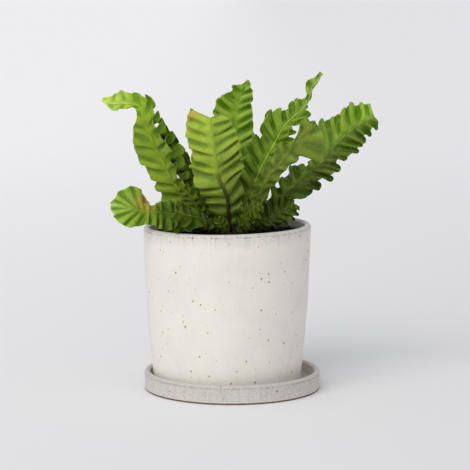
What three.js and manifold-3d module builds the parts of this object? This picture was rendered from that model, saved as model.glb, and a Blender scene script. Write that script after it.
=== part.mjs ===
// Potted bird's-nest fern with crisped strap fronds, in a stoneware pot that stands in its saucer.
// Millimetres, +Z up. The origin is the centre of the saucer's flat base, and the front is towards -Y.

import * as THREE from 'three';
import { mergeVertices } from 'three/addons/utils/BufferGeometryUtils.js';
import Module from 'manifold-3d';

const wasm = await Module();
wasm.setup();

// Clearance between pieces that touch in the real object
const clearance = 0.3;

// Turned pieces
const roundSteps = 60;
const lipSteps = 4;
const footChamfer = 1.2;
const quarterTurn = Math.PI / 2;

// Saucer, whose wall leans out a little from foot to rim
const saucerRadius = 74;
const saucerHeight = 16;
const saucerWall = 5;
const saucerFloor = 5;
const saucerCove = 3;
const saucerFlare = 0.6;

// Pot: the outside is a slightly bowed cone, thrown by hand, so its rim rises a little to the right
const rimRadius = 70;
const rimHeight = 138.6;
const footRadius = 61.5;
const wallBow = 1.6;
const potWall = 5.5;
const potFloor = 7;
const potCove = 5;
const potCentreX = -4.2;
const rimRise = 0.0145;
const drainHoleRadius = 7;
const wallHeights = [30, 60, 90, 118];
const potBase = saucerFloor + clearance;
const potInnerFloor = potBase + potFloor;

// Soil: level in the leaning pot, so it has a little more room, with a slightly domed top
const soilTop = 132;
const soilEdgeDrop = 2.5;
const soilGap = 0.45;

// Crown: the rhizome's low dome of scales, and the sockets that the stalks stand in
const crownRadius = 18.5;
const crownBottom = 119;
const crownTop = 134.5;
const crownSlack = 0.5;
const crownScales = 11;
const scaleRows = 7;
const scaleRelief = 1.1;
const socketSlack = 0.65;
const socketSides = 8;

// Fronds
const stalkRadius = 1.7;
const stalkRings = 3;
const bladeHalfThickness = 0.33;
const ribDepth = 1.5;
const ribTaper = 0.7;

// Shares from rib to margin at which a blade has its points
const columns = [0, 0.5, 1];

// Pleats: how unevenly they are spaced, how much their crests are longer than their valleys, how much their
// depth varies, the power by which it grows towards the margin, and the length from which it is full
const unevenness = 0.22;
const lobing = 0.02;
const depthVariation = 0.28;
const depthPower = 0.8;
const fullPleatLength = 9;

function finish(color, roughness) {
  return new THREE.MeshStandardMaterial({ color, roughness, metalness: 0 });
}

const stoneware = finish(0xd9d5cb, 0.55);
const darkSoil = finish(0x2b2119, 0.95);
const rhizome = finish(0x4a3320, 0.9);
const leaf = finish(0x6f9427, 0.4);
const youngLeaf = finish(0x9fb957, 0.45);

// One closed body from a three.js geometry: shared vertices are merged and flat slivers dropped
function closedBody(geometry) {
  geometry.deleteAttribute('normal');
  geometry.deleteAttribute('uv');
  const merged = mergeVertices(geometry, 1e-4);
  const corners = merged.index.array;
  const kept = [];
  for (let i = 0; i < corners.length; i += 3) {
    const [a, b, c] = corners.slice(i, i + 3);
    if (a !== b && b !== c && c !== a) kept.push(a, b, c);
  }
  merged.setIndex(kept);
  return merged;
}

function toManifold(geometry) {
  return new wasm.Manifold(new wasm.Mesh({
    numProp: 3,
    vertProperties: new Float32Array(geometry.attributes.position.array),
    triVerts: new Uint32Array(geometry.index.array),
  }));
}

function fromManifold(solid) {
  const mesh = solid.getMesh();
  const geometry = new THREE.BufferGeometry();
  geometry.setAttribute('position', new THREE.BufferAttribute(new Float32Array(mesh.vertProperties), 3));
  geometry.setIndex(Array.from(mesh.triVerts));
  return geometry;
}

function piece(name, geometry, material) {
  const mesh = new THREE.Mesh(geometry, material);
  mesh.name = name;
  return mesh;
}

// Turned solid about the Z axis, from [radius, height] pairs that run up the outside
function turned(profile, steps) {
  const points = profile.map(([radius, height]) => new THREE.Vector2(radius, height));
  const geometry = new THREE.LatheGeometry(points, steps);
  geometry.rotateX(quarterTurn);
  return closedBody(geometry);
}

// Half circle of a wall's rounded top, from its outer side to its inner side
function roundedLip(outerRadius, wall, top) {
  const lipRadius = wall / 2;
  const lip = [];
  for (let i = 0; i <= lipSteps; i++) {
    const turn = Math.PI * i / lipSteps;
    lip.push([outerRadius - lipRadius * (1 - Math.cos(turn)), top - lipRadius * (1 - Math.sin(turn))]);
  }
  return lip;
}

function makeSaucer() {
  const innerRadius = saucerRadius - saucerWall - saucerFlare / 2;
  const coveMiddle = saucerCove * (1 - Math.SQRT1_2);
  const profile = [
    [0, 0],
    [saucerRadius - saucerFlare - footChamfer, 0],
    [saucerRadius - saucerFlare, footChamfer],
    ...roundedLip(saucerRadius, saucerWall, saucerHeight),
    [innerRadius, saucerFloor + saucerCove],
    [innerRadius - coveMiddle, saucerFloor + coveMiddle],
    [innerRadius - saucerCove, saucerFloor],
    [0, saucerFloor],
  ];
  return piece('saucer', turned(profile, roundSteps), stoneware);
}

// Outer radius of the pot at a height above the table
function potRadius(height) {
  const share = (height - saucerFloor) / (rimHeight - saucerFloor);
  return footRadius + (rimRadius - footRadius) * share + wallBow * Math.sin(Math.PI * share);
}

// Slope that lifts the pot's right side, from nothing at its foot to the whole rise at its rim
function raiseRight(geometry) {
  const place = geometry.attributes.position;
  for (let i = 0; i < place.count; i++) {
    const share = (place.getZ(i) - potBase) / (rimHeight - potBase);
    place.setZ(i, place.getZ(i) + rimRise * place.getX(i) * share);
  }
  return geometry;
}

function makePot() {
  const innerFoot = potRadius(potInnerFloor) - potWall;
  const profile = [
    [drainHoleRadius, potBase],
    [footRadius - footChamfer, potBase],
    [footRadius, potBase + footChamfer],
    ...wallHeights.map((height) => [potRadius(height), height]),
    ...roundedLip(rimRadius, potWall, rimHeight),
    ...wallHeights.toReversed().map((height) => [potRadius(height) - potWall, height]),
    [innerFoot - potCove, potInnerFloor],
    [drainHoleRadius, potInnerFloor],
    [drainHoleRadius, potBase],
  ];
  const mesh = piece('pot', raiseRight(turned(profile, roundSteps)), stoneware);
  mesh.position.x = potCentreX;
  return mesh;
}

// The soil fills the pot, and has a plain round hole for the crown
function makeSoil() {
  const innerFoot = potRadius(potInnerFloor) - potWall;
  const edge = potRadius(soilTop) - potWall - soilGap;
  const hole = crownRadius + crownSlack;
  const surface = [1, 0.9, 0.65].map((share) => [edge * share, soilTop - soilEdgeDrop * share ** 6]);
  const profile = [
    [0, potInnerFloor + soilGap],
    [innerFoot - potCove - soilGap, potInnerFloor + soilGap],
    ...wallHeights.map((height) => [potRadius(height) - potWall - soilGap, height]),
    ...surface,
    [hole, soilTop],
    [hole, crownBottom - clearance],
    [0, crownBottom - clearance],
  ];
  const mesh = piece('soil', turned(profile, roundSteps), darkSoil);
  mesh.position.x = potCentreX;
  return mesh;
}

// Fronds. Each is one strap blade on a short stalk, given by:
// midrib, its points from the crown outwards; upperSide, the way the upper side faces from stalk to tip;
// bare, the share of the midrib that is stalk; pleats, their number on each side;
// gather, how much the pleats crowd towards the tip; phase, which sets how one frond's pleats vary;
// right and left, the sides seen from above with the tip up.
// A side has long, the lengths of its pleats at even steps along the blade; deep, their depth at the margin;
// lean, how far they lean towards the tip, in degrees; rise, how far the side rises from flat near the rib
// and at the margin, in degrees. From the share flatFrom of the blade on, the margin loses its rise.
const fronds = [
  {
    name: 'frond_front_broad', color: youngLeaf, bare: 0.07, pleats: 11, gather: 0.1, phase: 0.4,
    midrib:  [[-5, -7, 129], [-3, -14, 141], [-4, -25, 164], [-11, -31, 181], [-14, -37, 200],
      [-17, -42, 217], [-18, -45, 231.5]],
    upperSide:  [[0, 0.8, 0.5], [0, 0.95, 0.3], [0.1, 0.95, 0.2], [0, 0.9, 0.1]],
    right: { long: [2, 8.5, 14, 17.5, 19, 20, 21, 22.5, 24, 22.5, 21, 22, 23, 22.5, 21.5, 20.5, 17],
      deep: [3, 4.2, 4, 3, 2.4], lean: [15, 22, 27], rise: [0, 12] },
    left: { long: [2, 6, 11, 14, 17, 20.5, 24, 25.5, 26, 25.5, 25, 23.5, 22, 21, 19.5, 16, 9],
      deep: [3, 4.4, 4.2, 2.6, 1.6], lean: [30, 33, 10], rise: [5, 30] },
  },
  {
    name: 'frond_left_tall', color: leaf, bare: 0.06, pleats: 14, gather: 0.1, phase: 1.3,
    midrib:  [[-11, -2, 129], [-28, -6, 150], [-47, -13, 174], [-55, -17, 189], [-62, -21, 204],
      [-69, -24, 219], [-73, -24, 231], [-76, -23, 239], [-86, -26, 242], [-97, -30, 242],
      [-106, -34, 245]],
    upperSide:  [[0.5, 0.6, 0.4], [0.45, 0.8, 0.3], [0.4, 0.85, 0.3], [0.4, 0.9, 0.2], [0.2, 0.9, 0.3],
      [0, 0.9, 0.4]],
    right: { long: [2, 11, 20, 24.5, 24.5, 23.5, 21, 20, 23.5, 25, 23.5, 20.5, 17.5, 13.5, 7.5, 5.5, 5,
      6.5, 7.5, 4, 1], deep: [2, 3, 3.4, 2.6, 1.2, 0.8, 0.8, 0.8, 1, 0.8, 0.8], lean: [20, 25, 20],
      rise: [0, 12] },
    left: { long: [2, 6, 9, 12, 15, 17, 19, 20, 22, 22, 22, 21, 19, 17, 17.5, 14, 11, 11.5, 11.5, 8.5,
      2], deep: [2.4, 3.8, 4.6, 5, 5, 4.8, 4.4, 3.2, 1.2, 0.8, 0.8], lean: [20, 25, 25, 25, 5],
      rise: [-5, -32], flatFrom: 0.7 },
  },
  {
    name: 'frond_left_low', color: leaf, bare: 0.1, pleats: 11, gather: 0.6, phase: 2.1,
    midrib:  [[-16, -5, 129], [-25, -10, 139], [-36, -17, 146], [-48, -22, 150], [-60, -28, 152],
      [-71, -34, 154], [-82, -41, 157]],
    upperSide:  [[-0.2, -0.3, 0.9], [-0.2, -0.6, 0.7], [-0.2, -0.9, 0.4], [-0.3, -0.9, 0.1]],
    right: { long: [2, 7, 10, 12, 11, 9, 6, 24, 20], deep: [2.2, 2.2, 2.2, 2.2, 1.2],
      lean: [10, 12, 15, 15, 15, 15, 15, 40, 87.5], rise: [5, 8] },
    left: { long: [2, 8, 14, 18, 17.5, 15, 11.5, 20, 21], deep: [2.2, 2.2, 2.2, 2.2, 1.2],
      lean: [10, 12, 15, 15, 15, 15, 15, 40, 87.5], rise: [5, 8] },
  },
  {
    name: 'frond_back_tall', color: leaf, bare: 0.07, pleats: 13, gather: 0.1, phase: 3.3,
    midrib:  [[-1, 4.5, 129], [-1, 13, 153], [0, 19, 170], [1, 28, 195], [2, 36, 219], [4, 41, 235],
      [8, 44, 245], [13.5, 46.5, 256.5]],
    upperSide:  [[0, -0.9, 0.3], [0, -0.9, 0.4], [0, -0.9, 0.5]],
    right: { long: [2, 8, 14, 17, 18.5, 18.5, 16, 11, 1], deep: [2.6, 3, 3], lean: [25, 30, 45],
      rise: [0, 8] },
    left: { long: [2, 4.5, 7, 9.5, 12, 14, 16, 17.5, 19, 20, 21, 21.5, 22, 22, 21, 19.5, 15.5, 10.5,
      10.5, 3.5, 0.8], deep: [2.6, 3, 3], lean: [25, 30, 12], rise: [5, 25] },
  },
  {
    name: 'frond_right_glossy', color: leaf, bare: 0.06, pleats: 14, gather: 0.1, phase: 0.9,
    midrib:  [[3, 1, 129], [8, 5, 152], [16, 8, 166], [25, 12, 187], [36, 17, 206], [44, 20, 220],
      [57, 24, 232], [63, 26, 238], [65.5, 26.5, 244], [67, 27, 251], [71.5, 28, 257], [76, 28.5, 263]],
    upperSide:  [[-0.4, -0.8, 0.3], [-0.4, -0.85, 0.2], [-0.4, -0.8, 0.3], [-0.5, -0.7, 0.4],
      [-0.85, -0.45, 0.2]],
    right: { long: [2, 5.4, 9, 12.8, 16, 18.6, 20, 20.3, 20, 19, 18, 17.3, 16.8, 17, 16.5, 7.5, 3.5,
      3.3, 4, 3.7, 3], deep: [3.2, 4.2, 4.4, 4, 2.6, 1, 0.6], lean: [30, 31, 32, 31, 5],
      rise: [5, 35] },
    left: { long: [2, 7, 11, 14, 16, 18, 19, 21, 23, 17, 20, 21.5, 17, 10, 13, 11.5, 6, 3.5, 7.5, 4, 3],
      deep: [3.2, 4.2, 4.4, 4, 2.8, 1, 0.6], lean: [30, 31, 32, 31, 5], rise: [10, 50] },
  },
  {
    name: 'frond_far_right', color: leaf, bare: 0.06, pleats: 14, gather: 0.1, phase: 2.7,
    midrib:  [[7, 6, 129], [17, 11, 143], [30, 15, 153], [44, 19, 162], [57, 23, 173], [74, 27, 189],
      [90, 30, 206], [104, 31, 218], [120, 30, 227]],
    upperSide:  [[-0.4, -0.5, 0.7], [-0.2, -0.8, 0.5], [-0.1, -0.9, 0.4], [0, -0.9, 0.4]],
    right: { long: [2, 7, 11, 14, 16, 15, 17.5, 19.5, 21.5, 18.5, 19.5, 20.5, 16.5, 21, 23, 21, 21,
      15.5, 14, 11.5, 7], deep: [2.6, 3, 2.8, 2.4, 2], lean: [25, 25, 27, 28, 10], rise: [0, 25] },
    left: { long: [2, 5, 7, 9, 10, 11, 12.5, 18, 17.5, 11, 8, 9, 22, 28, 26, 21, 22.5, 23, 17.5, 16,
      12], deep: [2.6, 3, 2.8, 2.4, 2], lean: [25, 25, 27, 28, 10], rise: [0, -12] },
  },
  {
    name: 'frond_right_pale', color: youngLeaf, bare: 0.07, pleats: 10, gather: 0.1, phase: 1.7,
    midrib:  [[1, -4, 129], [7, -8, 141], [21, -18, 163], [29, -26, 180], [40, -31, 194],
      [50, -35, 207], [59, -38, 218], [63, -40, 228]],
    upperSide:  [[-0.3, 0.6, 0.7], [-0.3, 0.85, 0.5], [-0.2, 0.95, 0.2], [0, 0.9, 0.3]],
    right: { long: [2, 4.5, 7, 10, 12, 10, 7.5, 7, 10, 8.5, 10, 13, 7, 4.2, 7.5, 8.5, 5.5],
      deep: [1.6, 1.8], lean: [25, 25, 40], rise: [0, 10] },
    left: { long: [2, 3.5, 5, 6, 7, 8, 9, 9.5, 10, 10, 10, 10, 10, 10, 10, 9.5, 9, 9, 9, 9.3, 10.3,
      10.5, 11, 13, 27, 29, 23, 19, 16, 13, 10, 7, 4], deep: [1.6, 1.2],
      lean: [25, 25, 25, 25, 25, 25, 8, 28, 32], rise: [0, 10] },
  },
  {
    name: 'frond_low_right', color: leaf, bare: 0.14, pleats: 7, gather: 0.1, phase: 4.4,
    midrib:  [[9, 0, 129], [19, -2, 139], [30, -3, 144], [41, -2, 150], [52, 0, 156]],
    upperSide:  [[-0.2, -0.6, 0.8], [-0.1, -0.8, 0.5], [0, -0.9, 0.4]],
    right: { long: [2, 10, 15, 16, 13, 5], deep: [2.4, 2.6], lean: [20, 30], rise: [5, 40] },
    left: { long: [3, 10, 13, 14, 11, 3], deep: [2.4, 2.6], lean: [20, 30], rise: [5, 40] },
  },
  {
    name: 'frond_front_low', color: leaf, bare: 0.14, pleats: 7, gather: 0.1, phase: 5.2,
    midrib:  [[3, -11, 129], [6, -20, 141], [11, -29, 150], [17, -36, 157], [24, -42, 161]],
    upperSide:  [[-0.3, -0.4, 0.8], [-0.3, -0.7, 0.6], [-0.2, -0.8, 0.5]],
    right: { long: [3, 15, 23, 24, 19, 8], deep: [2, 2.2], lean: [25, 35], rise: [5, 40] },
    left: { long: [2, 7, 10, 11, 9, 3], deep: [2, 2.2], lean: [25, 35], rise: [5, 40] },
  },
  {
    name: 'frond_front_young', color: youngLeaf, bare: 0.3, pleats: 4, gather: 0.1, phase: 0.6,
    midrib:  [[-2, -13, 129], [-5, -18, 136], [-8, -22, 141], [-11, -25, 145]],
    upperSide:  [[0, 0.7, 0.6], [0, 0.7, 0.6]],
    right: { long: [2, 6, 7, 5], deep: [0.8, 1], lean: [20, 40, 60], rise: [0, 15] },
    left: { long: [2, 6.5, 7.5, 5], deep: [0.8, 1], lean: [20, 40, 60], rise: [0, 15] },
  },
  {
    name: 'frond_front_left', color: leaf, bare: 0.14, pleats: 7, gather: 0.1, phase: 0.2,
    midrib:  [[-12, -10, 129], [-21, -15, 143], [-29, -21, 155], [-35, -27, 166], [-43, -31, 174]],
    upperSide:  [[0.4, 0.4, 0.8], [0.4, 0.7, 0.5], [0.3, 0.8, 0.4]],
    right: { long: [2, 6, 8.5, 10, 8, 2.5], deep: [2.2, 2.4], lean: [25, 30], rise: [0, 5] },
    left: { long: [2, 5.5, 8, 9.5, 8, 2.5], deep: [2.2, 2.4], lean: [25, 30], rise: [0, 5] },
  },
  {
    name: 'frond_front_left_low', color: leaf, bare: 0.14, pleats: 6, gather: 0.1, phase: 1.1,
    midrib:  [[-7, -13, 129], [-16, -22.5, 141], [-28, -33.5, 148.5], [-37, -41, 151.5],
      [-46, -46, 155.5]],
    upperSide:  [[0.2, -0.3, 0.9], [0.2, -0.6, 0.7], [0.1, -0.8, 0.5]],
    right: { long: [2, 5, 7.5, 10, 11, 4], deep: [2, 2.2], lean: [25, 35], rise: [0, 20] },
    left: { long: [2, 12, 20.5, 23.5, 21, 11], deep: [2, 2.2], lean: [25, 35], rise: [5, 40] },
  },
  {
    name: 'frond_back_middle', color: leaf, bare: 0.09, pleats: 11, gather: 0.1, phase: 2.9,
    midrib:  [[-5, 13, 129], [-9, 21, 146], [-15, 34, 166], [-20, 49, 183], [-24, 65, 194],
      [-27, 80, 198]],
    upperSide:  [[0, -0.9, 0.5], [0, -0.7, 0.7], [0, -0.3, 0.9]],
    right: { long: [2, 7, 11, 12, 13, 12, 8, 2], deep: [3, 3.2], lean: [20, 28, 40], rise: [5, 20] },
    left: { long: [2, 8, 14, 17, 17, 14, 9, 2], deep: [3, 3.2], lean: [20, 28, 40], rise: [5, 20] },
  },
  {
    name: 'frond_back_upright', color: leaf, bare: 0.12, pleats: 10, gather: 0.1, phase: 1.9,
    midrib:  [[-1.5, 9.5, 129], [2, 22, 151], [5.5, 36, 175], [8, 49, 197], [10, 60, 213],
      [11, 69, 223]],
    upperSide:  [[0, -0.9, 0.4], [0, -0.85, 0.5], [0, -0.8, 0.6]],
    right: { long: [2, 6, 11, 14, 15, 12, 8, 2], deep: [3, 3.2], lean: [20, 28, 40], rise: [5, 20] },
    left: { long: [2, 4, 7, 10, 12, 11, 8, 2], deep: [3, 3.2], lean: [20, 28, 40], rise: [5, 20] },
  },
  {
    name: 'frond_back_right', color: leaf, bare: 0.12, pleats: 10, gather: 0.1, phase: 3.7,
    midrib:  [[4, 11.5, 129], [12, 23, 147], [21, 35, 164], [32, 47, 179], [44, 56, 188]],
    upperSide:  [[-0.4, -0.6, 0.7], [-0.4, -0.6, 0.7], [-0.3, -0.5, 0.8]],
    right: { long: [2, 7, 12, 14, 13, 10, 2], deep: [2.8, 3], lean: [20, 28, 40], rise: [5, 20] },
    left: { long: [2, 7, 12, 14, 13, 10, 2], deep: [2.8, 3], lean: [20, 28, 40], rise: [5, 20] },
  },
  {
    name: 'frond_back_left', color: leaf, bare: 0.12, pleats: 9, gather: 0.1, phase: 4.1,
    midrib:  [[-11, 12, 129], [-20, 22, 145], [-34, 34, 158], [-48, 45, 165], [-60, 54, 167]],
    upperSide:  [[0.4, -0.6, 0.7], [0.3, -0.4, 0.9], [0.2, -0.2, 1]],
    right: { long: [2, 8, 14, 14, 11, 2], deep: [2.8, 3], lean: [20, 28, 40], rise: [5, 20] },
    left: { long: [2, 8, 14, 14, 11, 2], deep: [2.8, 3], lean: [20, 28, 40], rise: [5, 20] },
  },
  {
    name: 'frond_back_low', color: leaf, bare: 0.12, pleats: 8, gather: 0.1, phase: 5.6,
    midrib:  [[-17, 4, 129], [-29, 8, 142], [-43, 15, 145], [-57, 22, 147], [-71, 30, 145]],
    upperSide:  [[0.5, -0.3, 0.8], [0.2, -0.2, 1], [-0.1, -0.1, 1]],
    right: { long: [2, 7, 11, 12, 9, 2], deep: [2.4, 2.6], lean: [20, 28, 40], rise: [5, 20] },
    left: { long: [2, 4, 7, 10, 9, 2], deep: [2.4, 2.6], lean: [20, 28, 40], rise: [5, 20] },
  },
  {
    name: 'frond_inner_left', color: leaf, bare: 0.1, pleats: 12, gather: 0.1, phase: 0.7,
    midrib:  [[-9, 5, 129], [-16, 7, 148], [-27, 5, 166], [-38, 2, 186], [-48, -1, 203], [-56, -4, 219],
      [-59, -6, 228]],
    upperSide:  [[0.3, -0.8, 0.3], [0.3, -0.9, 0.3], [0.3, -0.9, 0.3]],
    right: { long: [2, 5, 8, 6.5, 8.5, 6.5, 8.5, 6.5, 8, 6, 7, 4, 3, 1], deep: [2.4, 3, 2.6],
      lean: [25, 30, 40], rise: [5, 40] },
    left: { long: [2, 10, 14.5, 15, 15, 13, 9, 3], deep: [2.4, 2.6], lean: [25, 30, 40],
      rise: [5, 25] },
  },
];

// Value at a share, from 0 to 1, of a list spread evenly along a frond
function smooth(values, share) {
  const last = values.length - 1;
  const place = Math.min(Math.max(share, 0), 1) * last;
  const i = Math.min(Math.floor(place), last - 1);
  const f = place - i;
  const b = values[i];
  const c = values[i + 1];
  const a = i > 0 ? values[i - 1] : 2 * b - c;
  const d = i + 2 <= last ? values[i + 2] : 2 * c - b;
  return b + 0.5 * f * (c - a + f * (2 * a - 5 * b + 4 * c - d + f * (3 * b - a - 3 * c + d)));
}

function smoothVector(vectors, share) {
  return new THREE.Vector3(...[0, 1, 2].map((axis) => smooth(vectors.map((vector) => vector[axis]), share)));
}

// Midrib point and the blade's own directions at a share of the frond's length, which may run past the tip
function ribAt(frond, share) {
  const held = Math.min(share, 1);
  const along = frond.curve.getTangentAt(held);
  const point = frond.curve.getPointAt(held).addScaledVector(along, (share - held) * frond.length);
  const across = new THREE.Vector3().crossVectors(along, smoothVector(frond.upperSide, held)).normalize();
  const up = new THREE.Vector3().crossVectors(across, along);
  return { point, along, across, up };
}

// Place of a point of the blade: q counts half pleats from the blade's start, v runs from rib to margin
function bladePoint(frond, side, sign, q, v) {
  const shift = unevenness * Math.sin(1.9 * q + frond.phase) * Math.sin(Math.PI * q / frond.rows);
  const even = (q + shift) / frond.rows;
  const t = even + frond.gather * even * (1 - even);
  const pleat = Math.cos(Math.PI * q);
  const pleatLength = smooth(side.long, t) * (1 + lobing * pleat);
  const lean = THREE.MathUtils.degToRad(smooth(side.lean, t));
  const reach = v * pleatLength * Math.cos(lean);
  const share = frond.bare + (1 - frond.bare) * t + v * pleatLength * Math.sin(lean) / frond.length;
  const { point, across, up } = ribAt(frond, share);
  const kept = side.flatFrom ? 1 - THREE.MathUtils.smoothstep(t, side.flatFrom, side.flatFrom + 0.15) : 1;
  const turn = THREE.MathUtils.degToRad(side.rise[0] + (side.rise[1] * kept - side.rise[0]) * v / 2);
  const slope = THREE.MathUtils.degToRad(side.rise[0] + (side.rise[1] * kept - side.rise[0]) * v);
  const variation = 1 + depthVariation * Math.sin(2.3 * q + frond.phase + sign);
  const fullness = Math.min(1, pleatLength / fullPleatLength);
  const wave = smooth(side.deep, t) * variation * fullness * v ** depthPower;
  const outward = across.clone().multiplyScalar(sign);
  const normal = up.clone().multiplyScalar(Math.cos(slope)).addScaledVector(outward, -Math.sin(slope));
  const place = point.clone()
    .addScaledVector(outward, reach * Math.cos(turn))
    .addScaledVector(up, reach * Math.sin(turn))
    .addScaledVector(normal, wave * pleat);
  const step = (1 - frond.bare) * frond.length / frond.rows;
  const steepness = Math.hypot(1, 2 * wave / step);
  return { place, normal, thick: bladeHalfThickness * steepness };
}

// Rings of points round the frond, from its foot to its tip: over the upper side and back under the lower one
function frondRings(frond) {
  const rings = [];
  const last = columns.length - 1;
  const count = 4 * last + 2;
  for (let i = 0; i < stalkRings; i++) {
    const { point, across, up } = ribAt(frond, frond.bare * i / (stalkRings + 0.3));
    const ring = [];
    for (let k = 0; k < count; k++) {
      const turn = Math.PI * (1 - 2 * (k + 0.5) / count);
      ring.push(point.clone().addScaledVector(across, stalkRadius * Math.cos(turn))
        .addScaledVector(up, stalkRadius * Math.sin(turn)));
    }
    rings.push(ring);
  }
  for (let q = 0; q <= frond.rows; q++) {
    const above = [];
    const below = [];
    for (let k = -last; k <= last; k++) {
      const sign = k < 0 ? -1 : 1;
      const side = k < 0 ? frond.left : frond.right;
      const v = columns[Math.abs(k)];
      const { place, normal, thick } = bladePoint(frond, side, sign, q, v);
      const rib = k === 0 ? ribDepth * (1 - ribTaper * q / frond.rows) : 0;
      above.push(place.clone().addScaledVector(normal, thick));
      below.push(place.clone().addScaledVector(normal, -thick - rib));
    }
    rings.push([...above, ...below.reverse()]);
  }
  return rings;
}

// Closed mesh over the rings. Both faces split their quads alike, so the thin blade never crosses itself
function skin(rings) {
  const count = rings[0].length;
  const half = count / 2;
  const positions = rings.flat().flatMap((point) => point.toArray());
  const corners = [];
  const at = (ring, k) => ring * count + (k + count) % count;
  for (let i = 0; i + 1 < rings.length; i++) {
    for (let k = 0; k < count; k++) {
      const [a, b, c, d] = [at(i, k), at(i, k + 1), at(i + 1, k + 1), at(i + 1, k)];
      if (k < half) corners.push(a, b, c, a, c, d);
      else corners.push(a, b, d, b, c, d);
    }
  }
  const end = rings.length - 1;
  for (let k = 0; k + 1 < half; k++) {
    const mirror = count - 1 - k;
    corners.push(at(0, k), at(0, mirror), at(0, k + 1));
    corners.push(at(0, k + 1), at(0, mirror), at(0, mirror - 1));
    corners.push(at(end, k), at(end, k + 1), at(end, mirror));
    corners.push(at(end, k + 1), at(end, mirror - 1), at(end, mirror));
  }
  const geometry = new THREE.BufferGeometry();
  geometry.setAttribute('position', new THREE.BufferAttribute(new Float32Array(positions), 3));
  geometry.setIndex(corners);
  return closedBody(geometry);
}

function prepareFrond(frond) {
  const points = frond.midrib.map((point) => new THREE.Vector3(...point));
  frond.curve = new THREE.CatmullRomCurve3(points, false, 'catmullrom', 0.5);
  frond.length = frond.curve.getLength();
  frond.rows = 2 * frond.pleats;
}

function makeFrond(frond) {
  return piece(frond.name, skin(frondRings(frond)), frond.color);
}

// Plain round socket for a stalk's foot, a little wider than the stalk, open upwards
function socket(frond) {
  const { point, along } = ribAt(frond, 0);
  const radius = stalkRadius + socketSlack;
  const depth = 2 * (crownTop - crownBottom);
  const cutter = new THREE.CylinderGeometry(radius, radius, depth, socketSides);
  cutter.translate(0, depth / 2 - clearance, 0);
  cutter.applyQuaternion(new THREE.Quaternion().setFromUnitVectors(new THREE.Vector3(0, 1, 0), along));
  cutter.translate(point.x, point.y, point.z);
  return toManifold(closedBody(cutter));
}

// Every second point of the dome stands out, row by row, as the tip of a scale
function raiseScales(dome, around) {
  const place = dome.attributes.position;
  const smoothTop = 4;
  for (let i = 0; i < place.count; i++) {
    const [x, y, z] = [place.getX(i), place.getY(i), place.getZ(i)];
    const radius = Math.hypot(x, y);
    if (radius < smoothTop || z < soilTop) continue;
    const steepness = Math.asin(Math.min(1, (z - soilTop) / (crownTop - soilTop)));
    const row = Math.round(scaleRows * steepness / quarterTurn);
    const column = Math.round(around * Math.atan2(y, x) / (2 * Math.PI));
    if ((row + column) % 2 !== 0) continue;
    const grown = 1 + scaleRelief / radius;
    place.setXYZ(i, x * grown, y * grown, z + scaleRelief / 2);
  }
}

function makeCrown() {
  const around = 2 * crownScales;
  const domeRadius = crownRadius - scaleRelief;
  const profile = [[0, crownBottom], [crownRadius - footChamfer, crownBottom]];
  for (let i = 0; i < scaleRows; i++) {
    const turn = quarterTurn * i / scaleRows;
    profile.push([domeRadius * Math.cos(turn), soilTop + (crownTop - soilTop) * Math.sin(turn)]);
  }
  profile.push([0, crownTop]);
  const body = turned(profile, around);
  raiseScales(body, around);
  body.translate(potCentreX, 0, 0);
  let solid = toManifold(body);
  for (const frond of fronds) solid = solid.subtract(socket(frond));
  return piece('crown', fromManifold(solid), rhizome);
}

fronds.forEach(prepareFrond);
const plant = new THREE.Group();
plant.add(makeSaucer(), makePot(), makeSoil(), makeCrown(), ...fronds.map(makeFrond));

export default plant;
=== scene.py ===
"""Potted crisped bird's-nest fern in a speckled stoneware pot and saucer.

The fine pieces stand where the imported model's solids stand: a thrown pot in its saucer, crumbly potting soil,
a scaly crown, and one pleated frond for each solid frond. Lengths are in metres, apart from the table of the
fronds, which is in millimetres. The front is -Y.
"""

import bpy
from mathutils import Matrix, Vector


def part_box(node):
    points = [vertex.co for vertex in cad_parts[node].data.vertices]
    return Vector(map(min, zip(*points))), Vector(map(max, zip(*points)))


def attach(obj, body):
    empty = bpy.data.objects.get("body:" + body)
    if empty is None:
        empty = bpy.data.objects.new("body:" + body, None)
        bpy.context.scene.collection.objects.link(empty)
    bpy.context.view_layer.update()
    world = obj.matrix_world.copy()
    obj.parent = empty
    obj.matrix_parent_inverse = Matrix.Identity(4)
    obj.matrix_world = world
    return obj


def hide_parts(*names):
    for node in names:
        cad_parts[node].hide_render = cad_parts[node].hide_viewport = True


bl_info = {
    "name": "Potted Bird's-Nest Fern",
    "version": (1, 0, 0),
    "blender": (4, 5, 0),
    "location": "3D View > Sidebar > Potted Fern",
    "description": "Builds a crisped fern in a speckled stoneware pot, piece by piece",
    "category": "Add Mesh",
}

import math

import bmesh
import bpy
import numpy as np
from bpy.props import FloatProperty, FloatVectorProperty, IntProperty, PointerProperty
from mathutils import Euler, Matrix, Vector, noise

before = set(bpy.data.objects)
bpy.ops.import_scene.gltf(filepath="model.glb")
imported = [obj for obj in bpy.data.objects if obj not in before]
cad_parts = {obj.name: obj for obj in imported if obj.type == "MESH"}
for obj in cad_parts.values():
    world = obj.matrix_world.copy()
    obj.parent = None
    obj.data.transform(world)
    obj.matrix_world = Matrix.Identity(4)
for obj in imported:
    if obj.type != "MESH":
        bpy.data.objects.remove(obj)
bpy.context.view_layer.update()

# How far a piece's box may differ from its solid's box
CLAY_SLACK, SOIL_SLACK, CROWN_SLACK, FROND_SLACK = 0.002, 0.006, 0.008, 0.006

# The pot stands a little left of the saucer's middle, and its rim rises to the right by this slope
POT_CENTRE_X = -0.0042
RIM_RISE = 0.0145
POT_BASE = 0.0053
POT_FLOOR_TOP = 0.0123
WALL_BOW = 0.0016
SAUCER_FLOOR = 0.005
LIP_ROUNDING = 0.49  # share of the wall

# How far the saucer's wall and the pot's stray from round
SAUCER_WOBBLE, POT_WOBBLE = 0.0002, 0.0003

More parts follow.
